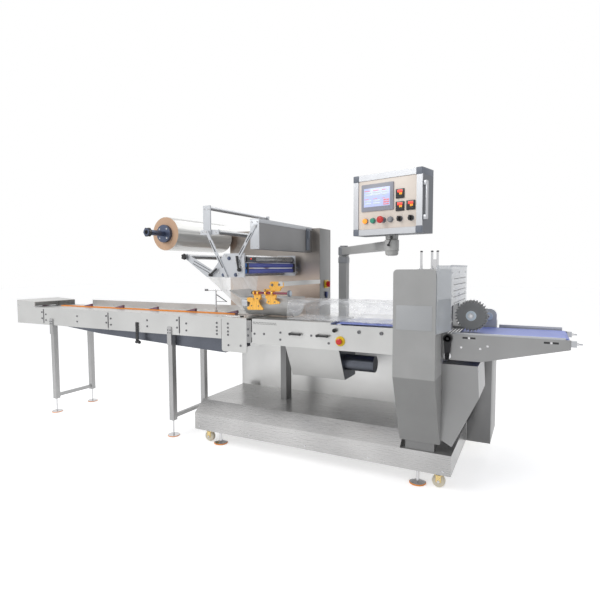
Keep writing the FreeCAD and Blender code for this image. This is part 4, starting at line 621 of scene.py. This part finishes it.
adjuster = Piece("adjuster_handle", "polished", replaces="width_adjuster")
adjuster.rod("Z", (-207.5, -68, DECK), 5.6, 168, 1, 20)
adjuster.rod("X", (-312.5, -68, 1085), 6, 210, 2.5, 20)
adjuster.rod("Z", (-207.5, -68, DECK), 12, 12, 2, 24)
adjuster.rod("Z", (-207.5, -68, 1074), 8.5, 14, 2, 24)
wing = Piece("adjuster_wing", "bolt_steel")
wing.outline([(-203, 1052), (-200, 1054), (-104, 1001), (-104, 996), (-203, 996), (-203, 1000),
              (-116, 1000), (-203, 1047)], -70, -66)
wing.rod("X", (-312.5, -68, 1085), 8.5, 34, 2.5, 20)

clamp_knob = Piece("clamp_knob", "black_plastic")
clamp_knob.rod("X", (-739.5, -386, 690), 7, 46, 2, 20)
clamp_knob.rod("X", (-706, -386, 690), 12, 16, 3, 24)

lever_tips = Piece("lever_tips", "black_plastic")
for x in (612.5, 802.5):
    lever_tips.turned("X", (x + 58, -391, 834), [(5, 0), (7.5, 4), (8, 12), (6.5, 17), (0, 19)], 24)
knob = Piece("bed_knob_grip", "black_plastic")
knob.turned("Y", (917.5, FRONT - 24, 873), [(10, 0.0), (12.5, 3), (13, 9), (13, 18), (11, 21)], 12)
Piece("stop_bar", "polished").block((20, -308, DECK), (176, -294, DECK + 5), 1.2)
Piece("stop_bar_end", "black_plastic").block((176, -310, DECK), (200, -292, DECK + 8), 2.5)

# ---- tower ----
Piece("tower_plate", "plate_grey").block((1345, -567.6, 925), (1532, -565.5, 1055), 1.0)
ROD_PLACES = (1429.5, 1487.5, 1517.5)
trim = Piece("tower_screws", "polished")
for x in ROD_PLACES:
    trim.turned("Z", (x, -361, 1243), [(11, 0), (11, 5), (8, 7), (6.2, 7)], 24)
rod_caps = Piece("rod_caps", "black_plastic")
for x in ROD_PLACES:
    rod_caps.turned("Z", (x, -361, 1338), [(6.6, 0), (7.2, 1), (7.2, 5), (5.5, 7.5), (0, 8)], 20)
seam = Piece("tower_seams", "black_rubber")
seam.block((1326.8, -328.6, 280), (1328.4, -326.6, 1240), 0)
seam.block((1326.9, -400, 668), (1328.2, -328, 670), 0)

edge = Piece("guard_edge", "aluminium_pale")
edge.block((1590.4, -394, 1257), (1600.6, 212, 1266), 1.5)
edge.block((1549.8, 199, 911), (1556, 214, 1263), 1.5)
# The guard's slots are open in the CAD; these dark blocks fill them with painted shade, so they read dark, as
# in the photograph.
SLOT_ROWS, ROW_PITCH, SLOT_COLUMNS, SLOT_PITCH = 5, 34, 9, 52
guard_slots = Piece("guard_slot_painted_shade", "dark_metal")
for row in range(SLOT_ROWS):
    for column in range(SLOT_COLUMNS):
        y, z = -306 + SLOT_PITCH * column, 1193 - ROW_PITCH * row
        guard_slots.block((1594, y + 0.5, z - 5), (1599.2, y + 33.5, z), 0.6)
guard_screws = Piece("guard_screws", "polished")
for y, z in ((-370, 960), (-370, 1100), (-120, 1100), (130, 1100), (-370, 1225), (-120, 1225), (130, 1225)):
    guard_screws.screw("X", (1598.6, y, z), 4.5, 1)

for name, body in (("upper", "jaw_high"), ("lower", "jaw_low")):
    jaw_x, _, z = AXES[f"{name}_jaw_spin"]
    teeth = Piece(f"{name}_jaw_teeth", "stainless_dark", body)
    for side in (-1, 1):
        for k in range(9):
            x = jaw_x + side * 90.4
            height = z - 20 + k * 5
            teeth.block((x - 1.6, -312, height - 1.4), (x + 1.6, -20, height + 1.4), 0.6)
    for y in (-313.5, -18.5):
        for step in (-60, 60):
            teeth.bolt("Y", (jaw_x + step, y, z), 7, -1 if y < -100 else 1)

# ---- discharge ----
rails = Piece("discharge_rails", "aluminium_pale")
rails.block((1600, FRONT + 1, 892), (2140, FRONT + 13, 902), 1.2)
rails.block((1812, 6, 892), (2140, 8.4, 914), 1.0)
# Stainless plate on the seal box's sloping front; the rest of the box keeps its dark pan_steel finish,
# painted shade.
seal_front = Piece("seal_box_front", "stainless")
seal_front.slab([(538, -321.2, 753), (917, -321.2, 753), (917, -211.7, 531), (538, -211.7, 531)], (0, 1.4, 0))
# Dark post_steel sheets on the cabinet's right end and on its front to the right of the tower: painted shade
# on the stainless cabinet.
cabinet_end = Piece("cabinet_end_painted_shade", "post_steel")
cabinet_end.block((1760.0, 225, 103), (1761.3, 620, 879), 0.3)
cabinet_end.block((1614, 223, 103), (1760.8, 224.4, 879), 0.3)
slots = Piece("discharge_slots", "black_plastic")
for low, high in ((1656.5, 1722.5), (2044.5, 2110.5)):
    slots.block((low, FRONT - 0.5, 870), (high, FRONT + 0.4, 880), 0.4)
out_bolts = Piece("discharge_bolts", "polished")
BOTH_SIDES = [(1650.5, 822), (1746.5, 821), (1689.5, 875), (2077.5, 875)]
out_bolts.heads("bolt", FRONT, BOTH_SIDES + [(1782.5, 837), (1570, 775)], 6)
out_bolts.heads("bolt", 8, BOTH_SIDES, 6, 1)
for y in (-372, 6):
    out_bolts.turned("X", (2187.5, y, 876), [(7, 0), (7, 8), (5.5, 9.5), (4.3, 9.5)], 6)
for y in (-350, -70):
    out_bolts.bolt("X", (1737.6, y, 690), 5, 1)
strap = Piece("strap_loop", "black_rubber", replaces="drive_strap")
PULLEY_X, PULLEY_Z = 1581.5, 868
bend = [math.radians(degrees) for degrees in range(-40, 221, 10)]
strap_line = [(PULLEY_X + 24 * math.cos(a), PULLEY_Z + 24 * math.sin(a)) for a in bend]
strap.outline([(1592, 750)] + strap_line + [(1571, 750)], -396, -379)
strap.turned("Y", (PULLEY_X, -396, PULLEY_Z), [(4, -4), (7, -3), (8, 0), (17, 0.0), (18, 2), (18, 6)], 28)

# ---- press wheel ----
WHEEL_X, _, WHEEL_Z = AXES["press_wheel_spin"]
HUB = (WHEEL_X, WHEEL_FRONT, WHEEL_Z)
TEETH, RIBS = 30, 36
ribs = Piece("press_ribs", "grey_plastic", "press")
for k in range(RIBS):
    turn = about(WHEEL_X, WHEEL_Z, 2 * math.pi * (k + 0.5) / RIBS)
    ribs.block((WHEEL_X + 38, WHEEL_FRONT - 2.2, WHEEL_Z - 1.1),
               (WHEEL_X + 70, WHEEL_FRONT + 0.5, WHEEL_Z + 1.1), 0.7, turn)
ribs.turned("Y", HUB, [(30, -2.6), (38, -2.6), (40, 0.4), (28, 0.4)][::-1], 64)
ribs.turned("Y", HUB, [(67, -2.2), (72, -2.2), (72.6, 0.4), (66, 0.4)][::-1], 72)
wheel = Piece("press_disc", "grey_plastic", "press", replaces="press_wheel")
rim = []
for k in range(TEETH):
    for radius, share in ((84.0, 0.05), (84.0, 0.30), (73.0, 0.42), (73.0, 0.74)):
        a = 2 * math.pi * (k + share) / TEETH
        rim.append((WHEEL_X + radius * math.cos(a), WHEEL_Z + radius * math.sin(a)))
wheel.outline(rim, WHEEL_FRONT, WHEEL_BACK)
hub = Piece("press_hub", "hub_blue", "press")
hub.turned("Y", HUB, [(9.4, -4), (25, -4), (27, -2.6), (27, 0.4), (9.4, 0.4)][::-1], 48)
for dx, dz in circle(3, 18, math.pi / 2):
    hub.screw("Y", (WHEEL_X + dx, WHEEL_FRONT - 4, WHEEL_Z + dz), 3, -1)
pivot = Piece("press_pivot", "hub_blue")
pivot.turned("Y", (1754.5, -12, 961), [(10, -5), (22, -5), (24, -3), (24, 0.4), (10, 0.4)][::-1], 48)
pivot_bolt = Piece("press_pivot_bolt", "polished")
pivot_bolt.bolt("Y", (1754.5, -13, 961), 9, -1)
pivot_bolt.bolt("Y", (WHEEL_X, -351, WHEEL_Z), 7, -1)

# ---- film unit ----
film_screws = Piece("film_screws", "polished")
LINK_ENDS = ((58.5, 1490), (215.5, 1205)), ((437.5, 1512), (289.5, 1300))
film_screws.heads("screw", PLATE_FRONT,
                  ((70, 1215), (300, 1215), (335, 1335), (210, 1335), (150, 1225), (338, 1262)), 6)
film_screws.heads("screw", PLATE_FRONT, [(x, z) for x in (43, 75) for z in (1495, 1640)], 5.5)
film_screws.heads("screw", PLATE_FRONT + 10, ((20, 1490), (125, 1490)), 5.5)
film_screws.heads("bolt", PLATE_FRONT, ((315.5, 1314), (325.5, 1272)), 7)
film_screws.heads("bolt", PLATE_FRONT - 8, [spot for ends in LINK_ENDS for spot in ends], 7)
Piece("film_bolts", "shaft_blue").heads("bolt", PLATE_FRONT, ((233.5, 1317), (187, 1210), (283, 1211)), 12)
nip_collars = Piece("nip_collars", "bright_blue")
nip_brackets = Piece("nip_brackets", "dark_metal")
for z in (1272, 1234):
    nip_collars.rod("Y", (325.5, -478, z), 17.5, 16, 1.5, 32)
    nip_collars.rod("Y", (325.5, 196, z), 17.5, 22, 1.5, 32)
for low in (-462, 178):
    nip_brackets.block((331, low, 1222), (349, low + 12, 1286), 1.5)
    nip_brackets.rod("Y", (315.5, low - 4, 1314), 25.5, 12, 1.5, 36)
Piece("film_bar_sleeves", "aluminium").rod("Y", (58.5, -495, 1650), 14, 735, 1.5, 28)

link_slots = Piece("link_slots", "black_plastic")
for (x1, z1), (x2, z2) in LINK_ENDS:
    angle = math.atan2(z2 - z1, x2 - x1)
    length = math.hypot(x2 - x1, z2 - z1)
    turn = Matrix.Translation((x1, 0, z1)) @ Matrix.Rotation(-angle, 4, "Y")
    for start, end in ((0.18, 0.46), (0.55, 0.82)):
        link_slots.block((length * start, PLATE_FRONT - 8.5, -3.2), (length * end, PLATE_FRONT - 7.6, 3.2),
                         0.4, turn)
angle = math.atan2(1230 - 1300, 91 + 60)
turn = Matrix.Translation((-58, 0, 1294)) @ Matrix.Rotation(-angle, 4, "Y")
for rise in (-9, 9):
    link_slots.block((0, PLATE_FRONT - 0.8, rise - 2), (150, PLATE_FRONT + 0.3, rise + 2), 0.3, turn)

tip_knob = Piece("arm_tip_knob", "black_plastic")
for dx, dz in circle(5, 13):
    tip_knob.turned("Y", (-125.5 + dx, PLATE_FRONT - 9, 1332 + dz),
                    [(6, -13), (8.5, -11), (8.5, -2), (6, 0)][::-1], 20)
tip_knob.turned("Y", (-125.5, PLATE_FRONT, 1332), [(8, -24), (11, -21), (12, -9), (8, -9), (8, 0)][::-1], 28)

levers = Piece("film_levers", "black_plastic")
for x, z, lean, reach in ((90, 1210, 53, 68), (316, 1242, -10, 92)):
    levers.turned("Y", (x, PLATE_FRONT, z), [(9, -20), (11, -17), (11, -1), (9, 0)][::-1], 24)
    levers.block((x - 6.5, PLATE_FRONT - 20, z), (x + 6.5, PLATE_FRONT - 9, z + reach), 4,
                 about(x, z, math.radians(lean)))

sensor = Piece("film_sensor", "black_plastic")
sensor.block((352, -492, 1300), (420, -474, 1322), 3)
sensor.block((349, -490, 1304), (356, -476, 1318), 1)
sensor_light = Piece("sensor_light", "lit_red")
sensor_light.turned("Y", (392, -492, 1312), [(0, -2.5), (3, -2), (4, 0.2)][::-1], 18)

hood_trim = Piece("hood_trim", "aluminium_pale")
hood_trim.block((HOOD_LEFT - 2, PLATE_FRONT, HOOD_TOP), (HOOD_RIGHT + 2, WALL_FRONT, HOOD_TOP + 4), 1.4)
hood_trim.block((HOOD_LEFT, PLATE_FRONT - 2.5, HOOD_LOW), (HOOD_RIGHT, PLATE_FRONT + 0.4, HOOD_TOP), 1.0)
hood_trim.block((HOOD_RIGHT - 0.5, PLATE_FRONT, HOOD_TOP - 22), (HOOD_RIGHT + 2.5, WALL_FRONT, HOOD_TOP), 0.8)
hood_bolts = Piece("hood_bolts", "polished")
hood_bolts.heads("screw", PLATE_FRONT - 2.5, [(x, z) for x in (410, 451) for z in (1388, 1540)], 4.5)
for y in range(-440, 240, 160):
    hood_bolts.screw("Z", (430, y, HOOD_TOP + 4), 4.5, 1)
latch = Piece("hood_latch", "blue_grey")
latch.block((463, 150, 1385), (471, 205, 1548), 2.5)
latch.block((471, 162, 1470), (479, 192, 1530), 3)

ROLL_X, _, ROLL_Z = AXES["film_roll_spin"]
roll_ends = Piece("roll_end_rings", "roll_tan", "film_spindle")
roll_ends.turned("Y", (ROLL_X, -436, ROLL_Z),
                 [(62.5, -1.2), (116.5, -1.2), (117.2, 0.4), (61, 0.4)][::-1], 72)
roll_ends.turned("Y", (ROLL_X, 204, ROLL_Z),
                 [(61, -0.4), (117.2, -0.4), (116.5, 1.2), (62.5, 1.2)][::-1], 72)
star = Piece("chuck_star", "black_plastic", "film_spindle")
for dx, dz in circle(6, 24):
    star.turned("Y", (ROLL_X + dx, -608, ROLL_Z + dz), [(6, -10), (9, -8), (9, 8), (6, 10)][::-1], 20)
star.turned("Y", (ROLL_X, -621, ROLL_Z), [(14, 0), (26.5, 2), (27, 26), (22, 32), (19.5, 34)][::-1], 40)
chuck = Piece("chuck_screws", "polished", "film_spindle")
for dx, dz in circle(4, 45, math.pi / 4):
    chuck.bolt("Y", (ROLL_X + dx, -460, ROLL_Z + dz), 6, -1)

# ---- wall, switch and cabinet ----
wall_bolts = Piece("wall_bolts", "polished")
wall_bolts.heads("bolt", WALL_FRONT, ((100, 1255), (330, 1255), (230, 1330), (-60, 1500), (-60, 1300)), 8)
for y in (353, 395):
    for z in (1104, 1150):
        wall_bolts.screw("X", (535.5, y, z), 3.2, 1)
MAST_X, MAST_Y, ARM_Z = AXES["panel_boom_swivel"]
mast_collar = Piece("mast_collar", "mid_grey")
mast_collar.block((MAST_X - 34, MAST_Y - 34, 1287), (MAST_X + 34, MAST_Y + 34, 1334), 7, None, 3)
# Dark post_steel sheet on the film wall's right end face: painted shade.
Piece("wall_end_painted_shade", "post_steel").block((527.2, 254.5, 881), (528.3, 460.5, 1554), 0.3)
inlet = Piece("switch_inlet", "dark_blue")
inlet.block((527, 356, 1030), (541, 392, 1068), 3)
inlet.rod("Z", (534, 374, 1012), 6, 19, 1, 20)

gaps = Piece("cabinet_gaps", "black_rubber")
doors = Piece("cabinet_doors", "stainless_tall")
door_hinges = Piece("door_hinges", "polished")
latches = Piece("door_latches", "black_plastic")
LATCH = [(15, 0), (15, 4), (12, 6), (0, 6)]
for low, high in ((-190, 440), (450, 1090), (1100, 1740)):
    doors.block((low, CABINET_BACK - 1, 125), (high, CABINET_BACK + 2.5, 858), 1.2)
    for z in (230, 755):
        door_hinges.rod("Z", (low + 6, CABINET_BACK + 5, z - 30), 5, 60, 1, 18)
    latches.turned("Y", (high - 40, CABINET_BACK + 2, 500), LATCH, 32)
    latches.block((high - 44, CABINET_BACK + 7, 486), (high - 36, CABINET_BACK + 10, 514), 1.5)
doors.block((-270, 460, 900), (110, 463.5, 1535), 1.2)
doors.block((120, 460, 900), (505, 463.5, 1535), 1.2)
for x in (75, 155):
    latches.turned("Y", (x, 463, 1220), LATCH, 32)
    latches.block((x - 4, 468, 1206), (x + 4, 471, 1234), 1.5)
for row in range(8):
    gaps.block((560, CABINET_BACK + 2, 220 + row * 16), (980, CABINET_BACK + 3.2, 225 + row * 16), 0.4)

PLINTH_FRONT = box("base_plinth")[0][1]
PLINTH_SPOTS = [(x, 125) for x in (-120, 300, 720, 1140, 1570)]
Piece("plinth_bolts", "polished").heads("bolt", PLINTH_FRONT, PLINTH_SPOTS, 6)
tail_screws = Piece("tail_screws", "polished")
for face, out in ((FRONT, -1), (REAR, 1)):
    tail_screws.heads("screw", face, ((-2190, 925), (-1985, 925)), 4.5, out)

# ---- former ----
SPINDLE_Y, SPINDLE_Z = -347, 1089
grip = Piece("spindle_knob", "blue_grey", slot="grey_plastic")
grip.turned("X", (577.5, SPINDLE_Y, SPINDLE_Z),
            [(11, 0), (19, 3), (21, 7), (21, 15), (18, 19.5), (0, 20)], 32)
grip_face = Piece("spindle_knob_face", "hub_blue", slot="grey_plastic")
grip_face.turned("X", (597, SPINDLE_Y, SPINDLE_Z), [(17, 0), (16, 1.2), (0, 1.4)], 32)
spindle_end = Piece("spindle_end", "black_plastic")
spindle_end.turned("X", (299.5, SPINDLE_Y, SPINDLE_Z), [(7, 0), (9.5, 2), (9.5, 16), (8.5, 18)], 28)
gold = Piece("gold_fittings", "gold", replaces="former_brackets")
GOLD_OUTLINES = (
    ([(435, 1104), (435, 1124), (428, 1124), (428, 1138), (438, 1140), (434, 1158), (444, 1165), (512, 1165),
      (533, 1160), (533, 1128), (518, 1125), (513, 1110), (508, 1104), (500, 1100), (388, 1100), (388, 1115),
      (430, 1117)], -334, -322),
    ([(254, 1053), (272, 1057), (303, 1053), (309, 1036), (345, 1036), (347, 1030), (355, 1012), (382, 982),
      (378, 975), (259, 972), (253, 990), (272, 997), (279, 1022), (254, 1031)], -334, -324),
    ([(399, 1070), (399, 1054), (413, 1047), (404, 1022), (434, 1012), (506, 1020), (508, 1030), (470, 1049),
      (481, 1059), (484, 1075), (470, 1081), (440, 1078), (410, 1081)], -334, -324),
    ([(309, 1080), (363, 1082), (363, 1060), (346, 1034), (315, 1034), (309, 1065)], -336, -326))
for points, near, far in GOLD_OUTLINES:
    gold.outline(points[::-1], near, far)
for low, high in (((290, -324, 1000), (330, -270, 1030)), ((430, -324, 1030), (465, -298, 1066)),
                  ((330, -326, 1040), (350, -298, 1070)), ((400, -330, 1076), (420, -324, 1104))):
    gold.block(low, high, 1.5)
for x in (322, 352, 412, 462):
    gold.turned("X", (x - 6, SPINDLE_Y, SPINDLE_Z), [(13.2, 0), (16, 1), (16, 12), (13.2, 13)], 28)
    gold.block((x - 6, -340, 1076), (x + 7, -326, 1102), 1)
Piece("former_cube", "aluminium").block((214, -336, 996), (256, -300, 1036), 2.5)
gold_screws = Piece("gold_screws", "bolt_steel")
gold_screws.heads("bolt", -334, ((452, 1142), (505, 1145)), 9)
gold_screws.heads("screw", -334, ((290, 1000), (345, 1000), (425, 1030), (470, 1030), (400, 1108)), 4.5)
gold_screws.heads("screw", -336, ((336, 1050),), 4.5)


# ---- wrapping film ----
def sheet_piece(name, rows, finish, wave, seed, ripple=1.0):
    """Thin film through rows of points in millimetres, creased along its own normals."""
    random.seed(seed)
    phases = [(random.uniform(0, 6.28), random.uniform(0, 6.28)) for _ in range(6)]
    mesh = bmesh.new()
    grid = []
    for i, row in enumerate(rows):
        line = []
        for k, point in enumerate(row):
            u, v = i / (len(rows) - 1), k / (len(row) - 1)
            before, after = row[max(k - 1, 0)], row[min(k + 1, len(row) - 1)]
            across = Vector(after) - Vector(before)
            other = Vector(rows[min(i + 1, len(rows) - 1)][k]) - Vector(rows[max(i - 1, 0)][k])
            normal = across.cross(other).normalized()
            push = sum(math.sin(u * (9 + 5 * n) * ripple + a) * math.sin(v * (7 + 6 * n) + b) / (n + 1)
                       for n, (a, b) in enumerate(phases))
            line.append(mesh.verts.new(Vector(point) + normal * wave * push))
        grid.append(line)
    for a, b in zip(grid, grid[1:]):
        for k in range(len(a) - 1):
            mesh.faces.new((a[k], a[k + 1], b[k + 1], b[k]))
    return add_object(name, mesh, finish, "machine")


def tube_row(x):
    """Section of the film tube: flat bottom on the deck, rounded shoulders."""
    half, top, radius, low = 142.0, 128.0, 42.0, 2
    shoulder, flat = top - radius, half - radius
    bend = [math.pi / 2 * k / 10 for k in range(1, 10)]
    points = [(half, low + (shoulder - low) * k / 12) for k in range(13)]
    points += [(flat + radius * math.cos(a), shoulder + radius * math.sin(a)) for a in bend]
    points += [(flat * (1 - 2 * k / 24), top) for k in range(25)]
    points += [(-flat - radius * math.sin(a), shoulder + radius * math.cos(a)) for a in bend]
    points += [(-half, shoulder - (shoulder - low) * k / 12) for k in range(13)]
    points += [(-half + 2 * half * k / 24, low) for k in range(1, 24)]
    points.append(points[0])
    return [(x, LINE_MIDDLE + y, DECK + 0.5 + z) for y, z in points]


TUBE_START, TUBE_END, TUBE_STEPS = 550, 1307, 110
tube_rows = [tube_row(TUBE_START + (TUBE_END - TUBE_START) * k / TUBE_STEPS) for k in range(TUBE_STEPS + 1)]
tube = sheet_piece("film_tube", tube_rows, "film", 1.5, 11, 3.6)
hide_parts("wrapping_film")
# The web's stations: x, z, and its two edges on Y.
WEB = ((30, 1200, -476, 174), (130, 1010, -300, -40), (190, 962, -282, -58))
web_rows = []
for (x1, z1, low1, high1), (x2, z2, low2, high2), steps in ((WEB[0], WEB[1], 30), (WEB[1], WEB[2], 11)):
    for k in range(steps + 1 if x2 == WEB[2][0] else steps):
        t = k / steps
        low, high = low1 + (low2 - low1) * t, high1 + (high2 - high1) * t
        x, z = x1 + (x2 - x1) * t, z1 + (z2 - z1) * t
        web_rows.append([(x, low + (high - low) * n / 30, z) for n in range(31)])
web = sheet_piece("film_web", web_rows, "film_web", 0.8, 5)

# ---- operator panel ----
NECK_X, NECK_Y, _ = AXES["panel_swivel"]
TURN = Matrix.Translation((NECK_X, NECK_Y, 0)) @ Matrix.Rotation(-math.radians(13.7), 4, "Z")
CASE_FACE = -68.0
corners = Piece("panel_corners", "blue_grey", "panel")
for x in (-216, 178):
    for z in (CASE_LOW - 1, CASE_TOP - 37):
        corners.block((x, CASE_FACE - 2.5, z), (x + 38, CASE_FACE + 14, z + 38), 4, TURN, 3)
corners.block((190, CASE_FACE + 10, CASE_TOP - 37), (216, 62, CASE_TOP + 1), 4, TURN, 3)
sheet_front = Piece("panel_face", "panel_beige", "panel", replaces="panel_controls")
sheet_front.block((-181.5, -63.6, CASE_LOW + 33.5), (181.5, -61.6, CASE_TOP - 33.5), 0.5, TURN)
bezel = Piece("screen_bezel", "bezel_grey", "panel")
bezel.block((-160, -72, 1570), (46, -62, 1722), 4, TURN)
bezel.block((-148, -73, 1588), (38, -71, 1706), 1, TURN)
Piece("screen_glass", "display", "panel").block((-140, -73.8, 1595), (26, -72.5, 1698), 0.4, TURN)
screen_rows = Piece("screen_rows", "display_pale", "panel")
screen_marks = Piece("screen_marks", "display_red", "panel")
for column, width in ((-135, 44), (-80, 46), (-24, 34)):
    screen_marks.block((column, -74.4, 1682), (column + width * 0.8, -73.6, 1686), 0.2, TURN)
    screen_marks.block((column, -74.4, 1636), (column + width * 0.6, -73.6, 1639), 0.2, TURN)
    for row in range(4):
        if column != -24 or row < 2:
            low = 1668 - row * 14 - (18 if row > 1 else 0)
            screen_rows.block((column, -74.4, low), (column + width, -73.6, low + 9), 0.2, TURN)
screen_marks.block((-14, -74.4, 1600), (22, -73.6, 1607), 0.2, TURN)
for left in (-14, 5):
    for low in (1611, 1623):
        screen_marks.block((left, -74.4, low), (left + 17, -73.6, low + 9), 0.2, TURN)


def numeral(piece, left, low, size, pitch, bar, post):
    """Figure with all its segments lit, of a (width, height) size."""
    width, height = size
    for step in range(3):
        floor = low + step * pitch
        piece.block((left, -71.8, floor), (left + width, -71.0, floor + bar), 0, TURN)
    for side in (left, left + width - post):
        piece.block((side, -71.8, low + 1), (side + post, -71.0, low + height), 0, TURN)


dials = Piece("controller_bezels", "black_plastic", "panel")
dial_glass = Piece("controller_windows", "black_glass", "panel")
reading = Piece("controller_readings", "lit_red", "panel")
setting = Piece("controller_settings", "lit_amber", "panel")
for x, z in ((61, 1628), (61, 1560), (125, 1561)):
    dials.block((x - 1.5, -70.5, z - 1.5), (x + 49.5, -62, z + 49.5), 2.5, TURN)
    dial_glass.block((x + 4, -71.2, z + 14), (x + 44, -70.3, z + 45), 0.4, TURN)
    for k in range(4):
        dials.block((x + 6 + k * 10, -71.4, z + 4), (x + 12 + k * 10, -70.2, z + 10), 1, TURN)
    for k in range(3):
        numeral(reading, x + 11 + k * 10, z + 30, (8, 12), 5.4, 2.4, 2.2)
    for k in range(2):
        numeral(setting, x + 22 + k * 9, z + 18, (6.6, 9.4), 4.2, 1.8, 1.6)

BUTTONS = (("orange", "lit_orange", -133), ("green", "green_plastic", -83), ("stop", "red_plastic", -17),
           ("black", "mid_grey", 28), ("selector_a", "black_plastic", 85),
           ("selector_b", "black_plastic", 152))
BUTTON_Z = 1517
BUTTON = [(14.0, -2), (14.0, -17), (12, -20), (0, -20.8)]
MUSHROOM = [(13.6, -32), (17, -34), (20, -38), (19, -46), (15, -50), (0, -51.5)]
button_rims = Piece("button_rims", "blue_grey", "panel", slot="black_plastic")
for name, finish, x in BUTTONS:
    place = (x, -62, BUTTON_Z)
    button_rims.turned("Y", place, [(13.4, 0), (16, -1), (16, -7), (13.4, -8.5)][::-1], 36, TURN)
    slot = "red_plastic" if name == "stop" else "black_plastic"
    top = Piece(f"button_{name}", finish, "panel", slot)
    if name == "stop":
        top.turned("Y", place, MUSHROOM[::-1], 40, TURN)
        button_rims.turned("Y", place, [(14, -2), (14.5, -4), (14.5, -30), (13, -34)][::-1], 36, TURN)
    elif name.startswith("selector"):
        top.turned("Y", place, [(14.4, -2), (15, -12), (13, -20), (0, -20)][::-1], 36, TURN)
        top.block((x - 4.5, -94, BUTTON_Z - 14), (x + 4.5, -80, BUTTON_Z + 14), 2, TURN)
    else:
        top.turned("Y", place, BUTTON[::-1], 36, TURN)

panel_bolts = Piece("panel_bolts", "polished", "panel")
for x in (-190, 190):
    for z in (1455, 1760):
        panel_bolts.screw("Y", (x, 62, z), 4, 1, TURN)
grip_bar = Piece("panel_grip", "aluminium", "panel", replaces="panel_handle")
grip_bar.block((214.5, -60, 1683), (234, -36, 1708), 3, TURN)
grip_bar.block((214.5, -60, 1505), (234, -36, 1530), 3, TURN)
grip_bar.block((228, -58, 1510), (236, -38, 1703), 3, TURN)
arm_lever = Piece("arm_lever", "black_plastic", "panel_boom")
lean = about(1262, ARM_Z, math.radians(22))
arm_lever.rod("Z", (1262, -436, ARM_Z), 4, 42, 1, 20, lean)
arm_lever.turned("Z", (1262, -436, ARM_Z + 37), [(0, 0), (7, 3), (9, 9), (7, 15), (0, 18)], 24, lean)
arm_lever.rod("Y", (1262, -446, ARM_Z), 6, 26, 1, 20)
neck = Piece("panel_neck_cover", "arm_paint", "panel")
neck.turned("Z", (NECK_X, NECK_Y, 0),
            [(30, 1410.5), (35, 1413), (36, 1436.5), (20, 1436.5), (20, 1410.5)], 40)
neck.turned("Z", (NECK_X, NECK_Y, 0),
            [(20, 1320), (30, 1322), (36, 1330), (37, 1345.5), (20, 1345.5)], 40)
Piece("boom_joint", "mid_grey", "panel_boom").rod("Z", (MAST_X, MAST_Y, ARM_Z - 34), 42, 68, 8, 40)

for piece in Piece.gathered:
    piece.done()
